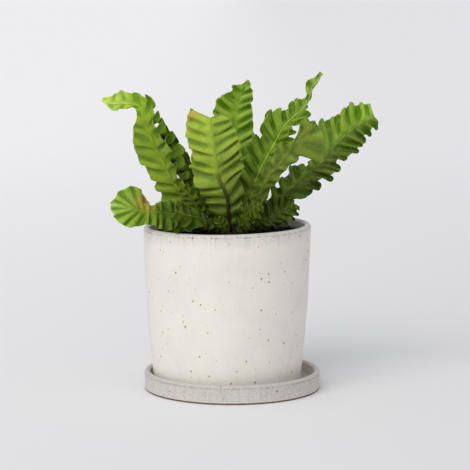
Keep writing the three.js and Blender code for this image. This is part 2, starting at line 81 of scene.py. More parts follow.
# Specks in the glaze and the fine freckles between them: how many there are in a metre, a freckle's share of
# a speck's radius, and how far their runs reach
SPECKS_PER_METRE, FRECKLES_PER_METRE = 160.0, 250.0
FRECKLE_SHARE = 0.45
SPECK_RUN, FRECKLE_RUN = 0.004, 0.0015

# How far below the rim the glaze parts, and the radius inside which the pot's inner wall is darkened with
# painted shade
PARTING_DEPTH = 0.0016
PAINTED_SHADE_RADIUS = 0.0665

# Soil and crown heights, the gap between soil and pot, and how rough the soil's top is
SOIL_TOP = 0.132
SOIL_EDGE_DROP = 0.0025
SOIL_BOTTOM = 0.01275
SOIL_GAP = 0.00045
SOIL_ROUGHNESS = 0.0011
CROWN_BOTTOM = 0.119
CROWN_TOP = 0.1345

# A crumb of soil has this many faces, and of every four lots of so many the first is bark
CRUMB_FACES = 20
BARK_EVERY = 4

# Room that the crown's scales leave round each stalk, and their width and thickness
STALK_ROOM = 0.0021
SCALE_WIDTH = 0.0017
SCALE_THICKNESS = 0.00012

# Shares from rib to margin of a blade's lines of points, closest at the rib and at the margin
COLUMNS = [0, 0.012, 0.03, 0.055, 0.09, 0.14, 0.2, 0.27, 0.35, 0.44, 0.54, 0.64, 0.74, 0.83, 0.91, 0.965]
COLUMNS += [0.99, 1]
ROWS_PER_PLEAT = 16
STALK_ROWS = 12
STALK_RADIUS = 0.0017

# The rib: its depth and the share of it that is lost towards the tip, half its width and what that loses, the
# blade's length beside it from which it is full, and the channel over it
RIB_DEPTH = 0.0015
RIB_TAPER = 0.7
RIB_HALF_WIDTH = 0.0013
RIB_NARROWING = 0.0006
FULL_RIB_LENGTH = 0.006
CHANNEL_DEPTH = 0.0002

# Pleats: how unevenly they are spaced, how much longer their crests are, how much their depth varies, the
# power by which it grows towards the margin, the length from which it is full, the depth from which curls and
# lobes are full, and the share of a blade over which a side turns flat
UNEVENNESS = 0.22
LOBING = 0.02
DEPTH_VARIATION = 0.28
DEPTH_POWER = 0.8
FULL_PLEAT_LENGTH = 0.009
FULL_PLEAT_DEPTH = 0.0035
FLATTENING = 0.15

# Leans over this angle count for more, so that the last pleats of a cup close round its middle
STEEP_LEAN = 80
STEEP_GAIN = 1.333

# Curve by which the brown of the stalk fades along the rib, and the painted shade that darkens the valleys
# between the folds
BROWN_FADE = 0.3
PAINTED_VALLEY_SHADE = (0.44, 0.58, 0.4)

# The camera, and the soft light from the upper left
CAMERA_PLACE = (0.00232, -1.7156, 0.35524)
CAMERA_DOWNWARD = 0.1308
CAMERA_LENS = 158.27
LIGHT_FROM = (-0.5, -0.9, 0.75)
LIGHT_SPREAD = 50
LIGHT_COLOUR = (1.0, 0.98, 0.95)
FLOOR_RADIUS = 60.0

# What a frond and a side of it have when the table gives nothing else
USUAL = dict(slot="frond", bare=0.12, gather=0.1, tint=[1, 1], marks=[], dark=0.3, rib=0, crumple=1.6)
USUAL_SIDE = dict(lean=[20, 28, 40], rise=[5, 20], crest=0.1, curl=0.1, frill=0.2, lobe=0)
USUAL_SIDE |= dict(flat_from=1, light=1)


def frond_values(name, both=None, right=None, left=None, **own):
    """All values of one frond, with its lengths turned from millimetres into metres."""
    frond = {"name": name, **USUAL, **own}
    for key in ("midrib", "rib", "crumple"):
        frond[key] = np.array(frond[key]) / 1000
    for side, given in (("right", right), ("left", left)):
        values = {**USUAL_SIDE, **(both or {}), **(given or {})}
        for key in ("long", "deep"):
            values[key] = np.array(values[key]) / 1000
        frond[side] = values
    return frond


# One entry for each frond, from its foot in the crown to its tip. midrib is the rib's line and upper_side
# where its glossy side faces along it. bare is the stalk's share of the length, pleats counts the folds,
# gather crowds them towards the tip, and phase makes each frond uneven in its own way. crumple is the height
# of its uneven waves. tint brightens the leaf from foot to tip, and from 1.2 on it also ages it; it is partly
# the leaf's own tone and partly painted shade, low at the feet, on the low fronds and on fronds that stand in
# the shade of others. dark is the share of the rib that is still brown, and rib how much wider the rib's colour
# is than usual. marks are spots: kind, side from -1 to 1, share of the length, radius, strength.
# Each side's lists are read evenly from the blade's start to its tip: long is the pleats' length, deep their
# height and lean their angle towards the tip. rise is the side's angle out of the flat at the rib and at the
# margin, and it fades from the share flat_from. crest is how much broader the folds are towards the upper
# side, curl how far they overhang, lobe how deep the margin is cut between them, frill how wavy it is, and
# light how bright the side is beside the tint: painted light and shade, lighter for a side that faces the
# light and darker for one that faces away.
FRONDS = [
    frond_values(
        "front_broad", slot="young_frond", bare=0.07, pleats=11, phase=0.4, dark=0.55, rib=0.9,
        tint=[0.38, 0.64, 1.04, 1.32, 1.45],
        marks=[("yellow", 1, 0.98, 13, 1), ("yellow", 1, 0.82, 9, 0.6), ("yellow", 1, 0.66, 9, 0.8),
               ("brown", 1, 1, 4, 0.8), ("brown", 1, 0.68, 4.5, 1), ("brown", 1, 0.62, 3, 1)],
        midrib=[(-5, -7, 129), (-3, -14, 141), (-4, -25, 164), (-11, -31, 181), (-14, -37, 200),
                (-17, -42, 217), (-18, -45, 231.5)],
        upper_side=[(0, 0.8, 0.5), (0, 0.95, 0.3), (0.1, 0.95, 0.2), (0, 0.9, 0.1)],
        both=dict(crest=-0.35, curl=0.12, lobe=0.06),
        right=dict(
            long=[2, 8.5, 14, 17.5, 19, 20, 21, 22.5, 24, 22.5, 21, 22, 23, 22.5, 21.5, 20.5, 17],
            deep=[3, 4.2, 4, 3, 2.4], lean=[15, 22, 27], rise=[0, 12],
        ),
        left=dict(
            long=[2, 6, 11, 14, 17, 20.5, 24, 25.5, 26, 25.5, 25, 23.5, 22, 21, 19.5, 16, 9],
            deep=[3, 4.4, 4.2, 2.6, 1.6], lean=[30, 33, 10], rise=[5, 30], light=0.8,
        ),
    ),
    frond_values(
        "left_tall", bare=0.06, pleats=14, phase=1.3, rib=-0.6,
        tint=[0.75, 0.92, 1.1, 1.1, 1.1, 1.3, 2.6, 3.4],
        midrib=[(-11, -2, 129), (-28, -6, 150), (-47, -13, 174), (-55, -17, 189), (-62, -21, 204),
                (-69, -24, 219), (-73, -24, 231), (-76, -23, 239), (-86, -26, 242), (-97, -30, 242),
                (-106, -34, 245)],
        upper_side=[(0.5, 0.6, 0.4), (0.45, 0.8, 0.3), (0.4, 0.85, 0.3), (0.4, 0.9, 0.2), (0.2, 0.9, 0.3),
                    (0, 0.9, 0.4)],
        right=dict(
            long=[2, 11, 20, 24.5, 24.5, 23.5, 21, 20, 23.5, 25, 23.5, 20.5, 17.5, 13.5, 7.5, 5.5, 5, 6.5,
                  7.5, 4, 1],
            deep=[2, 3, 3.4, 2.6, 1.2, 0.8, 0.8, 0.8, 1, 0.8, 0.8], lean=[20, 25, 20], rise=[0, 12],
            crest=-0.3,
        ),
        left=dict(
            long=[2, 6, 9, 12, 15, 17, 19, 20, 22, 22, 22, 21, 19, 17, 17.5, 14, 11, 11.5, 11.5, 8.5, 2],
            deep=[2.4, 3.8, 4.6, 5, 5, 4.8, 4.4, 3.2, 1.2, 0.8, 0.8], lean=[20, 25, 25, 25, 5],
            rise=[-5, -32], crest=0, curl=0.58, frill=0.12, lobe=0.22, flat_from=0.7,
        ),
    ),
    frond_values(
        "left_low", bare=0.1, pleats=11, gather=0.6, phase=2.1, rib=-0.3,
        tint=[0.7, 0.82, 0.95, 1.7, 2.7],
        marks=[("brown", 1, 0.7, 9, 0.5), ("yellow", 1, 0.7, 16, 1), ("brown", 1, 0.98, 2, 0.6)],
        midrib=[(-16, -5, 129), (-25, -10, 139), (-36, -17, 146), (-48, -22, 150), (-60, -28, 152),
                (-71, -34, 154), (-82, -41, 157)],
        upper_side=[(-0.2, -0.3, 0.9), (-0.2, -0.6, 0.7), (-0.2, -0.9, 0.4), (-0.3, -0.9, 0.1)],
        both=dict(
            deep=[2.2, 2.2, 2.2, 2.2, 1.2], lean=[10, 12, 15, 15, 15, 15, 15, 40, 87.5], rise=[5, 8],
            curl=0.3,
        ),
        right=dict(long=[2, 7, 10, 12, 11, 9, 6, 24, 20]),
        left=dict(long=[2, 8, 14, 18, 17.5, 15, 11.5, 20, 21]),
    ),
    frond_values(
        "back_tall", bare=0.07, pleats=13, phase=3.3, rib=-0.6, crumple=2.4,
        tint=[0.9, 1.45, 1.75],
        midrib=[(-1, 4.5, 129), (-1, 13, 153), (0, 19, 170), (1, 28, 195), (2, 36, 219), (4, 41, 235),
                (8, 44, 245), (13.5, 46.5, 256.5)],
        upper_side=[(0, -0.9, 0.3), (0, -0.9, 0.4), (0, -0.9, 0.5)],
        both=dict(deep=[2.6, 3, 3], curl=0.15),
        right=dict(long=[2, 8, 14, 17, 18.5, 18.5, 16, 11, 1], lean=[25, 30, 45], rise=[0, 8]),
        left=dict(
            long=[2, 4.5, 7, 9.5, 12, 14, 16, 17.5, 19, 20, 21, 21.5, 22, 22, 21, 19.5, 15.5, 10.5, 10.5, 3.5,
                  0.8],
            lean=[25, 30, 12], rise=[5, 25], crest=0.25,
        ),
    ),
    frond_values(
        "right_glossy", bare=0.06, pleats=14, phase=0.9, crumple=2,
        tint=[0.85, 1.35, 1.3],
        midrib=[(3, 1, 129), (8, 5, 152), (16, 8, 166), (25, 12, 187), (36, 17, 206), (44, 20, 220),
                (57, 24, 232), (63, 26, 238), (65.5, 26.5, 244), (67, 27, 251), (71.5, 28, 257),
                (76, 28.5, 263)],
        upper_side=[(-0.4, -0.8, 0.3), (-0.4, -0.85, 0.2), (-0.4, -0.8, 0.3), (-0.5, -0.7, 0.4),
                    (-0.85, -0.45, 0.2)],
        both=dict(lean=[30, 31, 32, 31, 5], crest=0.2),
        right=dict(
            long=[2, 5.4, 9, 12.8, 16, 18.6, 20, 20.3, 20, 19, 18, 17.3, 16.8, 17, 16.5, 7.5, 3.5, 3.3, 4,
                  3.7, 3],
            deep=[3.2, 4.2, 4.4, 4, 2.6, 1, 0.6], rise=[5, 35], curl=0.3, lobe=0.15,
        ),
        left=dict(
            long=[2, 7, 11, 14, 16, 18, 19, 21, 23, 17, 20, 21.5, 17, 10, 13, 11.5, 6, 3.5, 7.5, 4, 3],
            deep=[3.2, 4.2, 4.4, 4, 2.8, 1, 0.6], rise=[10, 50], curl=0.4, frill=0.15, lobe=0.25,
        ),
    ),
    frond_values(
        "far_right", bare=0.06, pleats=14, phase=2.7, rib=-0.4, crumple=4.5,
        tint=[0.6, 0.68, 0.85, 1.15, 1.5],
        midrib=[(7, 6, 129), (17, 11, 143), (30, 15, 153), (44, 19, 162), (57, 23, 173), (74, 27, 189),
                (90, 30, 206), (104, 31, 218), (120, 30, 227)],
        upper_side=[(-0.4, -0.5, 0.7), (-0.2, -0.8, 0.5), (-0.1, -0.9, 0.4), (0, -0.9, 0.4)],
        both=dict(deep=[2.6, 3, 2.8, 2.4, 2], lean=[25, 25, 27, 28, 10], crest=0, curl=0.3, lobe=0.15),
        right=dict(
            long=[2, 7, 11, 14, 16, 15, 17.5, 19.5, 21.5, 18.5, 19.5, 20.5, 16.5, 21, 23, 21, 21, 15.5, 14,
                  11.5, 7],
            rise=[0, 25], frill=0.15, light=0.6,
        ),
        left=dict(
            long=[2, 5, 7, 9, 10, 11, 12.5, 18, 17.5, 11, 8, 9, 22, 28, 26, 21, 22.5, 23, 17.5, 16, 12],
            rise=[0, -12], frill=0.4, light=1.15,
        ),
    ),
    frond_values(
        "right_pale", slot="young_frond", bare=0.07, pleats=10, phase=1.7, rib=-1.1, crumple=4,
        tint=[0.45, 0.58, 0.71],
        midrib=[(1, -4, 129), (7, -8, 141), (21, -18, 163), (29, -26, 180), (40, -31, 194), (50, -35, 207),
                (59, -38, 218), (63, -40, 228)],
        upper_side=[(-0.3, 0.6, 0.7), (-0.3, 0.85, 0.5), (-0.2, 0.95, 0.2), (0, 0.9, 0.3)],
        both=dict(rise=[0, 10]),
        right=dict(
            long=[2, 4.5, 7, 10, 12, 10, 7.5, 7, 10, 8.5, 10, 13, 7, 4.2, 7.5, 8.5, 5.5], deep=[1.6, 1.8],
            lean=[25, 25, 40],
        ),
        left=dict(
            long=[2, 3.5, 5, 6, 7, 8, 9, 9.5, 10, 10, 10, 10, 10, 10, 10, 9.5, 9, 9, 9, 9.3, 10.3, 10.5, 11,
                  13, 27, 29, 23, 19, 16, 13, 10, 7, 4],
            deep=[1.6, 1.2], lean=[25, 25, 25, 25, 25, 25, 8, 28, 32],
        ),
    ),
    frond_values(
        "low_right", bare=0.14, pleats=7, phase=4.4, rib=-0.5, crumple=2.6,
        tint=[0.35, 0.5],
        midrib=[(9, 0, 129), (19, -2, 139), (30, -3, 144), (41, -2, 150), (52, 0, 156)],
        upper_side=[(-0.2, -0.6, 0.8), (-0.1, -0.8, 0.5), (0, -0.9, 0.4)],
        both=dict(deep=[2.4, 2.6], lean=[20, 30], rise=[5, 40], curl=0.45, lobe=0.25),
        right=dict(long=[2, 10, 15, 16, 13, 5]),
        left=dict(long=[3, 10, 13, 14, 11, 3]),
    ),
    frond_values(
        "front_low", bare=0.14, pleats=7, phase=5.2, crumple=2.6,
        tint=[0.38, 0.55],
        midrib=[(3, -11, 129), (6, -20, 141), (11, -29, 150), (17, -36, 157), (24, -42, 161)],
        upper_side=[(-0.3, -0.4, 0.8), (-0.3, -0.7, 0.6), (-0.2, -0.8, 0.5)],
        both=dict(deep=[2, 2.2], lean=[25, 35], rise=[5, 40], curl=0.45, lobe=0.25),
        right=dict(long=[3, 15, 23, 24, 19, 8]),
        left=dict(long=[2, 7, 10, 11, 9, 3]),
    ),
    frond_values(
        "front_young", slot="young_frond", bare=0.3, pleats=4, phase=0.6,
        tint=[0.45, 0.6],
        midrib=[(-2, -13, 129), (-5, -18, 136), (-8, -22, 141), (-11, -25, 145)],
        upper_side=[(0, 0.7, 0.6), (0, 0.7, 0.6)],
        both=dict(deep=[0.8, 1], lean=[20, 40, 60], rise=[0, 15]),
        right=dict(long=[2, 6, 7, 5]),
        left=dict(long=[2, 6.5, 7.5, 5]),
    ),
    frond_values(
        "front_left", bare=0.14, pleats=7, phase=0.2, crumple=2.6,
        tint=[0.4, 0.6],
        midrib=[(-12, -10, 129), (-21, -15, 143), (-29, -21, 155), (-35, -27, 166), (-43, -31, 174)],
        upper_side=[(0.4, 0.4, 0.8), (0.4, 0.7, 0.5), (0.3, 0.8, 0.4)],
        both=dict(deep=[2.2, 2.4], lean=[25, 30], rise=[0, 5], curl=0.45, lobe=0.25),
        right=dict(long=[2, 6, 8.5, 10, 8, 2.5]),
        left=dict(long=[2, 5.5, 8, 9.5, 8, 2.5]),
    ),
    frond_values(
        "front_left_low", bare=0.14, pleats=6, phase=1.1, crumple=2.6,
        tint=[0.38, 0.58],
        midrib=[(-7, -13, 129), (-16, -22.5, 141), (-28, -33.5, 148.5), (-37, -41, 151.5), (-46, -46, 155.5)],
        upper_side=[(0.2, -0.3, 0.9), (0.2, -0.6, 0.7), (0.1, -0.8, 0.5)],
        both=dict(deep=[2, 2.2], lean=[25, 35], curl=0.45, lobe=0.25),
        right=dict(long=[2, 5, 7.5, 10, 11, 4], rise=[0, 20]),
        left=dict(long=[2, 12, 20.5, 23.5, 21, 11], rise=[5, 40]),
    ),
    frond_values(
        "back_middle", bare=0.09, pleats=11, phase=2.9,
        midrib=[(-5, 13, 129), (-9, 21, 146), (-15, 34, 166), (-20, 49, 183), (-24, 65, 194), (-27, 80, 198)],
        upper_side=[(0, -0.9, 0.5), (0, -0.7, 0.7), (0, -0.3, 0.9)],
        both=dict(deep=[3, 3.2]),
        right=dict(long=[2, 7, 11, 12, 13, 12, 8, 2]),
        left=dict(long=[2, 8, 14, 17, 17, 14, 9, 2]),
    ),
    frond_values(
        "back_upright", pleats=10, phase=1.9,
        midrib=[(-1.5, 9.5, 129), (2, 22, 151), (5.5, 36, 175), (8, 49, 197), (10, 60, 213), (11, 69, 223)],
        upper_side=[(0, -0.9, 0.4), (0, -0.85, 0.5), (0, -0.8, 0.6)],
        both=dict(deep=[3, 3.2]),
        right=dict(long=[2, 6, 11, 14, 15, 12, 8, 2]),
        left=dict(long=[2, 4, 7, 10, 12, 11, 8, 2]),
    ),
    frond_values(
        "back_right", pleats=10, phase=3.7,
        midrib=[(4, 11.5, 129), (12, 23, 147), (21, 35, 164), (32, 47, 179), (44, 56, 188)],
        upper_side=[(-0.4, -0.6, 0.7), (-0.4, -0.6, 0.7), (-0.3, -0.5, 0.8)],
        both=dict(long=[2, 7, 12, 14, 13, 10, 2], deep=[2.8, 3]),
    ),
    frond_values(
        "back_left", pleats=9, phase=4.1,
        midrib=[(-11, 12, 129), (-20, 22, 145), (-34, 34, 158), (-48, 45, 165), (-60, 54, 167)],
        upper_side=[(0.4, -0.6, 0.7), (0.3, -0.4, 0.9), (0.2, -0.2, 1)],
        both=dict(long=[2, 8, 14, 14, 11, 2], deep=[2.8, 3]),
        left=dict(curl=0.2),
    ),
    frond_values(
        "back_low", pleats=8, phase=5.6,
        midrib=[(-17, 4, 129), (-29, 8, 142), (-43, 15, 145), (-57, 22, 147), (-71, 30, 145)],
        upper_side=[(0.5, -0.3, 0.8), (0.2, -0.2, 1), (-0.1, -0.1, 1)],
        both=dict(deep=[2.4, 2.6]),
        right=dict(long=[2, 7, 11, 12, 9, 2]),
        left=dict(long=[2, 4, 7, 10, 9, 2]),
    ),
    frond_values(
        "inner_left", bare=0.1, pleats=12, phase=0.7,
        tint=[0.7, 0.7],
        midrib=[(-9, 5, 129), (-16, 7, 148), (-27, 5, 166), (-38, 2, 186), (-48, -1, 203), (-56, -4, 219),
                (-59, -6, 228)],
        upper_side=[(0.3, -0.8, 0.3), (0.3, -0.9, 0.3), (0.3, -0.9, 0.3)],
        both=dict(lean=[25, 30, 40], curl=0.5),
        right=dict(
            long=[2, 5, 8, 6.5, 8.5, 6.5, 8.5, 6.5, 8, 6, 7, 4, 3, 1], deep=[2.4, 3, 2.6], rise=[5, 40],
        ),
        left=dict(long=[2, 10, 14.5, 15, 15, 13, 9, 3], deep=[2.4, 2.6], rise=[5, 25]),
    ),
]


def colour_property(name, description, default):
    return FloatVectorProperty(
        name=name, description=description, default=default, size=3, min=0.0, max=1.0, subtype="COLOR"
    )


def length_property(name, description, default, least=0.0, most=1.0):
    unit = {"precision": 4, "subtype": "DISTANCE", "unit": "LENGTH"}
    return FloatProperty(name=name, description=description, default=default, min=least, max=most, **unit)


def strength_property(name, description, default):
    return FloatProperty(name=name, description=description, default=default, min=0.0)


def count_property(name, description, default, most, least=0):
    return IntProperty(name=name, description=description, default=default, min=least, max=most)


class StonewareSettings(bpy.types.PropertyGroup):
    rim_radius: length_property("Rim radius", "Outer radius of the pot at its rim", 0.070)
    rim_height: length_property("Rim height", "Height of the pot's rim above the table", 0.1386)
    foot_radius: length_property("Foot radius", "Outer radius of the pot at its foot", 0.0615)
    pot_wall: length_property("Pot wall", "Thickness of the pot's wall", 0.0055)
    drain_radius: length_property("Drain hole", "Radius of the hole in the pot's floor", 0.007)
    saucer_radius: length_property("Saucer radius", "Outer radius of the saucer", 0.074)
    saucer_height: length_property("Saucer height", "Height of the saucer's wall", 0.016)
    saucer_wall: length_property("Saucer wall", "Thickness of the saucer's wall", 0.005)
    glaze: colour_property("Glaze", "Warm white of the glaze", (0.80, 0.765, 0.70))
    thin_glaze: colour_property("Thin glaze", "Grey of the glaze where it runs thin", (0.50, 0.475, 0.445))
    speck: colour_property("Specks", "Brown of the iron specks", (0.13, 0.06, 0.02))
    run: colour_property("Runs", "Rust of the run below a speck", (0.50, 0.30, 0.14))
    clay: colour_property("Bare clay", "Red-brown of the unglazed foot", (0.17, 0.085, 0.05))
    # Painted shade: a soil brown that darkens the inside of the pot below its rim
    painted_inner_shade: colour_property("Painted inner shade", "Brown of the soil that clings inside the rim", (0.05, 0.036, 0.022))
    speck_size: length_property("Speck size", "Radius of the largest iron specks", 0.0008)


class SoilSettings(bpy.types.PropertyGroup):
    soil: colour_property("Soil", "Dark brown of the potting soil", (0.009, 0.0065, 0.003))
    bark: colour_property("Bark", "Brown of the larger crumbs", (0.035, 0.02, 0.01))
    crumbs: count_property("Crumbs", "Number of loose crumbs on the soil", 620, 1200)
    crumb_size: length_property("Crumb size", "Usual radius of a crumb", 0.0011)
    seed: count_property("Seed", "Seed of the crumbs' places", 7, 10000)


class CrownSettings(bpy.types.PropertyGroup):
    radius: length_property("Crown radius", "Radius of the crown at the soil", 0.0185)
    scales: count_property("Scales", "Number of papery scales", 150, 400)
    scale_length: length_property("Scale length", "Usual length of a scale", 0.007)
    scale: colour_property("Scales' colour", "Brown of the papery scales", (0.10, 0.05, 0.022))
    body: colour_property("Crown's colour", "Dark brown of the crown under its scales", (0.035, 0.02, 0.011))


class FrondSettings(bpy.types.PropertyGroup):
    upper: colour_property("Upper side", "Green of a grown frond's glossy upper side", (0.125, 0.215, 0.006))
    underside: colour_property("Underside", "Green of a grown frond's underside", (0.20, 0.30, 0.010))
    young_upper: colour_property("Young upper side", "Green of its glossy upper side", (0.25, 0.35, 0.022))
    young_underside: colour_property("Young underside", "Green of a young underside", (0.32, 0.42, 0.05))
    rib: colour_property("Rib", "Pale green of the ribs on the upper side", (0.32, 0.42, 0.08))
    rib_below: colour_property("Rib below", "Pale green of the ribs on the underside", (0.27, 0.38, 0.035))
    stalk: colour_property("Stalk", "Dark brown of stalks and of the ribs' lower part", (0.035, 0.018, 0.008))
    yellow: colour_property("Yellowing", "Yellow of an ageing tip", (0.50, 0.42, 0.07))
    brown: colour_property("Browning", "Brown of a dried fleck", (0.23, 0.13, 0.05))
    thickness: length_property("Blade thickness", "Thickness of a frond's blade", 0.00045, 0.0001, 0.002)
    veins: count_property("Veins", "Side veins in each pleat", 9, 30, 1)


class StageSettings(bpy.types.PropertyGroup):
    floor: colour_property("Floor", "Pale colour of the studio floor", (0.845, 0.845, 0.86))
    sky: colour_property("Surroundings", "Pale colour of the light from all round", (0.87, 0.88, 0.90))
    fill: strength_property("Fill", "Strength of the light from all round", 0.68)
    key: strength_property("Key light", "Strength of the soft light from the left", 1.5)


def settings(kind):
    return getattr(bpy.context.scene, "fern_" + kind)


class Nodes:
    """Adds and links the nodes of one tree. A value that is a socket is linked, and any other is set."""

    def __init__(self, tree):
        self.tree = tree

    def add(self, kind, inputs=None, **options):
        node = self.tree.nodes.new("ShaderNode" + kind)
        for name, value in options.items():
            setattr(node, name, value)
        for key, value in (inputs or {}).items():
            self.feed(node.inputs[key], value)
        return node

    def feed(self, socket, value):
        if isinstance(value, bpy.types.NodeSocket):
            self.tree.links.new(value, socket)
        elif socket.type == "RGBA":
            socket.default_value = (*value[:3], 1.0)
        else:
            socket.default_value = value

    def maths(self, operation, a, b=0.0):
        return self.add("Math", {0: a, 1: b}, operation=operation).outputs[0]

    def times(self, a, b):
        return self.maths("MULTIPLY", a, b)

    def plus(self, a, b):
        return self.maths("ADD", a, b)

    def minus(self, a, b):
        return self.maths("SUBTRACT", a, b)

    def vectors(self, operation, a, b):
        return self.add("VectorMath", {0: a, 1: b}, operation=operation).outputs[0]

    def scaled(self, vector, scale):
        return self.add("VectorMath", {0: vector, "Scale": scale}, operation="SCALE").outputs[0]

    def length(self, vector):
        return self.add("VectorMath", {0: vector}, operation="LENGTH").outputs["Value"]

    def split(self, vector):
        return self.add("SeparateXYZ", {"Vector": vector}).outputs

    def place(self):
        return self.add("TexCoord").outputs["Object"]

    def attribute(self, name, output="Vector"):
        return self.add("Attribute", attribute_name=name).outputs[output]

    def remap(self, value, low, high, to_low=0.0, to_high=1.0):
        places = {"Value": value, "From Min": low, "From Max": high, "To Min": to_low, "To Max": to_high}
        return self.add("MapRange", places, interpolation_type="SMOOTHSTEP").outputs[0]

    def noise(self, place, scale, detail=3.0, roughness=0.5):
        values = {"Vector": place, "Scale": scale, "Detail": detail, "Roughness": roughness}
        return self.add("TexNoise", values).outputs[0]

    def stretched(self, place, scale):
        return self.add("Mapping", {"Vector": place, "Scale": scale}).outputs[0]

    def mix(self, amount, a, b, blend="MIX"):
        return self.add("Mix", {0: amount, 6: a, 7: b}, data_type="RGBA", blend_type=blend).outputs[2]

    def group(self, name, inputs):
        return self.add("Group", inputs, node_tree=shared_group(name)).outputs

    def bump(self, height, strength, distance):
        return self.add("Bump", {"Height": height, "Strength": strength, "Distance": distance}).outputs[0]


def shared_group(name):
    """One of the GROUPS, made when it is first used. Its function returns its outputs by name."""
    if name in bpy.data.node_groups:
        return bpy.data.node_groups[name]
    fill, inputs = GROUPS[name]
    tree = bpy.data.node_groups.new(name, "ShaderNodeTree")
    for kind, titles in inputs.items():
        for title in titles:
            tree.interface.new_socket(name=title, in_out="INPUT", socket_type="NodeSocket" + kind)
    nodes = Nodes(tree)
    results = fill(nodes, tree.nodes.new("NodeGroupInput").outputs)
    for title, value in results.items():
        kind = "Color" if value.type == "RGBA" else "Float"
        tree.interface.new_socket(name=title, in_out="OUTPUT", socket_type="NodeSocket" + kind)
    out = tree.nodes.new("NodeGroupOutput").inputs
    for title, value in results.items():
        nodes.feed(out[title], value)
    return tree


def new_material(name):
    material = bpy.data.materials.new(name)
    material.use_nodes = True
    nodes = Nodes(material.node_tree)
    material.node_tree.nodes.clear()
    shader = nodes.add("BsdfPrincipled")
    nodes.add("OutputMaterial", {"Surface": shader.outputs["BSDF"]})
    return material, nodes, shader.inputs


def iron_specks(nodes, given):
    """Round specks at the points of a cell pattern, a halo round each and a faint run below it."""
    ragged = nodes.add("TexNoise", {"Vector": given["Place"], "Scale": 900.0, "Detail": 2.0}).outputs["Color"]
    shift = nodes.scaled(nodes.vectors("SUBTRACT", ragged, (0.5, 0.5, 0.5)), 0.0012)
    place = nodes.vectors("ADD", given["Place"], shift)
    cells = nodes.add("TexVoronoi", {"Vector": place, "Scale": given["Cells per Metre"]}).outputs
    away = nodes.vectors("SUBTRACT", place, cells["Position"])
    distance = nodes.length(away)
    chance = nodes.add("SeparateColor", {"Color": cells["Color"]}).outputs
    size = nodes.times(given["Radius"], nodes.remap(chance[0], 0.0, 1.0, 0.35, 1.0))
    width = nodes.length(nodes.vectors("MULTIPLY", away, (1.0, 1.0, 0.0)))
    narrow = nodes.remap(width, size, nodes.times(size, 0.3))
    below = nodes.times(nodes.split(away)[2], -1.0)
    fading = nodes.remap(below, nodes.times(given["Run Length"], chance[1]), 0.0)
    started = nodes.remap(below, -0.0004, 0.0002)
    return {
        "Speck": nodes.remap(distance, size, nodes.times(size, 0.7)),
        "Halo": nodes.remap(distance, nodes.times(size, 1.7), size),
        "Run": nodes.times(nodes.times(narrow, fading), started),
    }


def glaze_flow(nodes, given):
    """Soft mottling and fine upright streaks of a glaze that ran a little while it melted."""
    upright = nodes.stretched(given["Place"], (1.0, 1.0, 0.09))
    return {
        "Mottling": nodes.noise(given["Place"], 38.0, 4.0, 0.6),
        "Streaks": nodes.noise(upright, given["Streaks per Metre"], 4.0, 0.6),
        "Grain": nodes.noise(given["Place"], 620.0, 3.0, 0.7),
    }


def side_veins(nodes, given):
    """Fine veins that run from rib to margin, and the grain of the leaf between them."""
    place = given["Place"]
    wander = nodes.times(nodes.noise(place, 120.0, 2.0), 0.35)
    counted = nodes.times(nodes.plus(given["Half Pleats"], wander), given["Veins per Half Pleat"])
    off = nodes.maths("ABSOLUTE", nodes.minus(nodes.maths("FRACT", counted), 0.5))
    veins = nodes.remap(off, 0.28, 0.05)
    fine = nodes.plus(veins, nodes.times(nodes.noise(place, 1500.0, 2.0), 0.5))
    puckers = nodes.times(nodes.noise(place, 260.0, 2.0), 14.0)
    mottling = nodes.noise(place, 85.0, 5.0, 0.6)
    return {"Veins": veins, "Height": nodes.plus(fine, puckers), "Mottling": mottling}


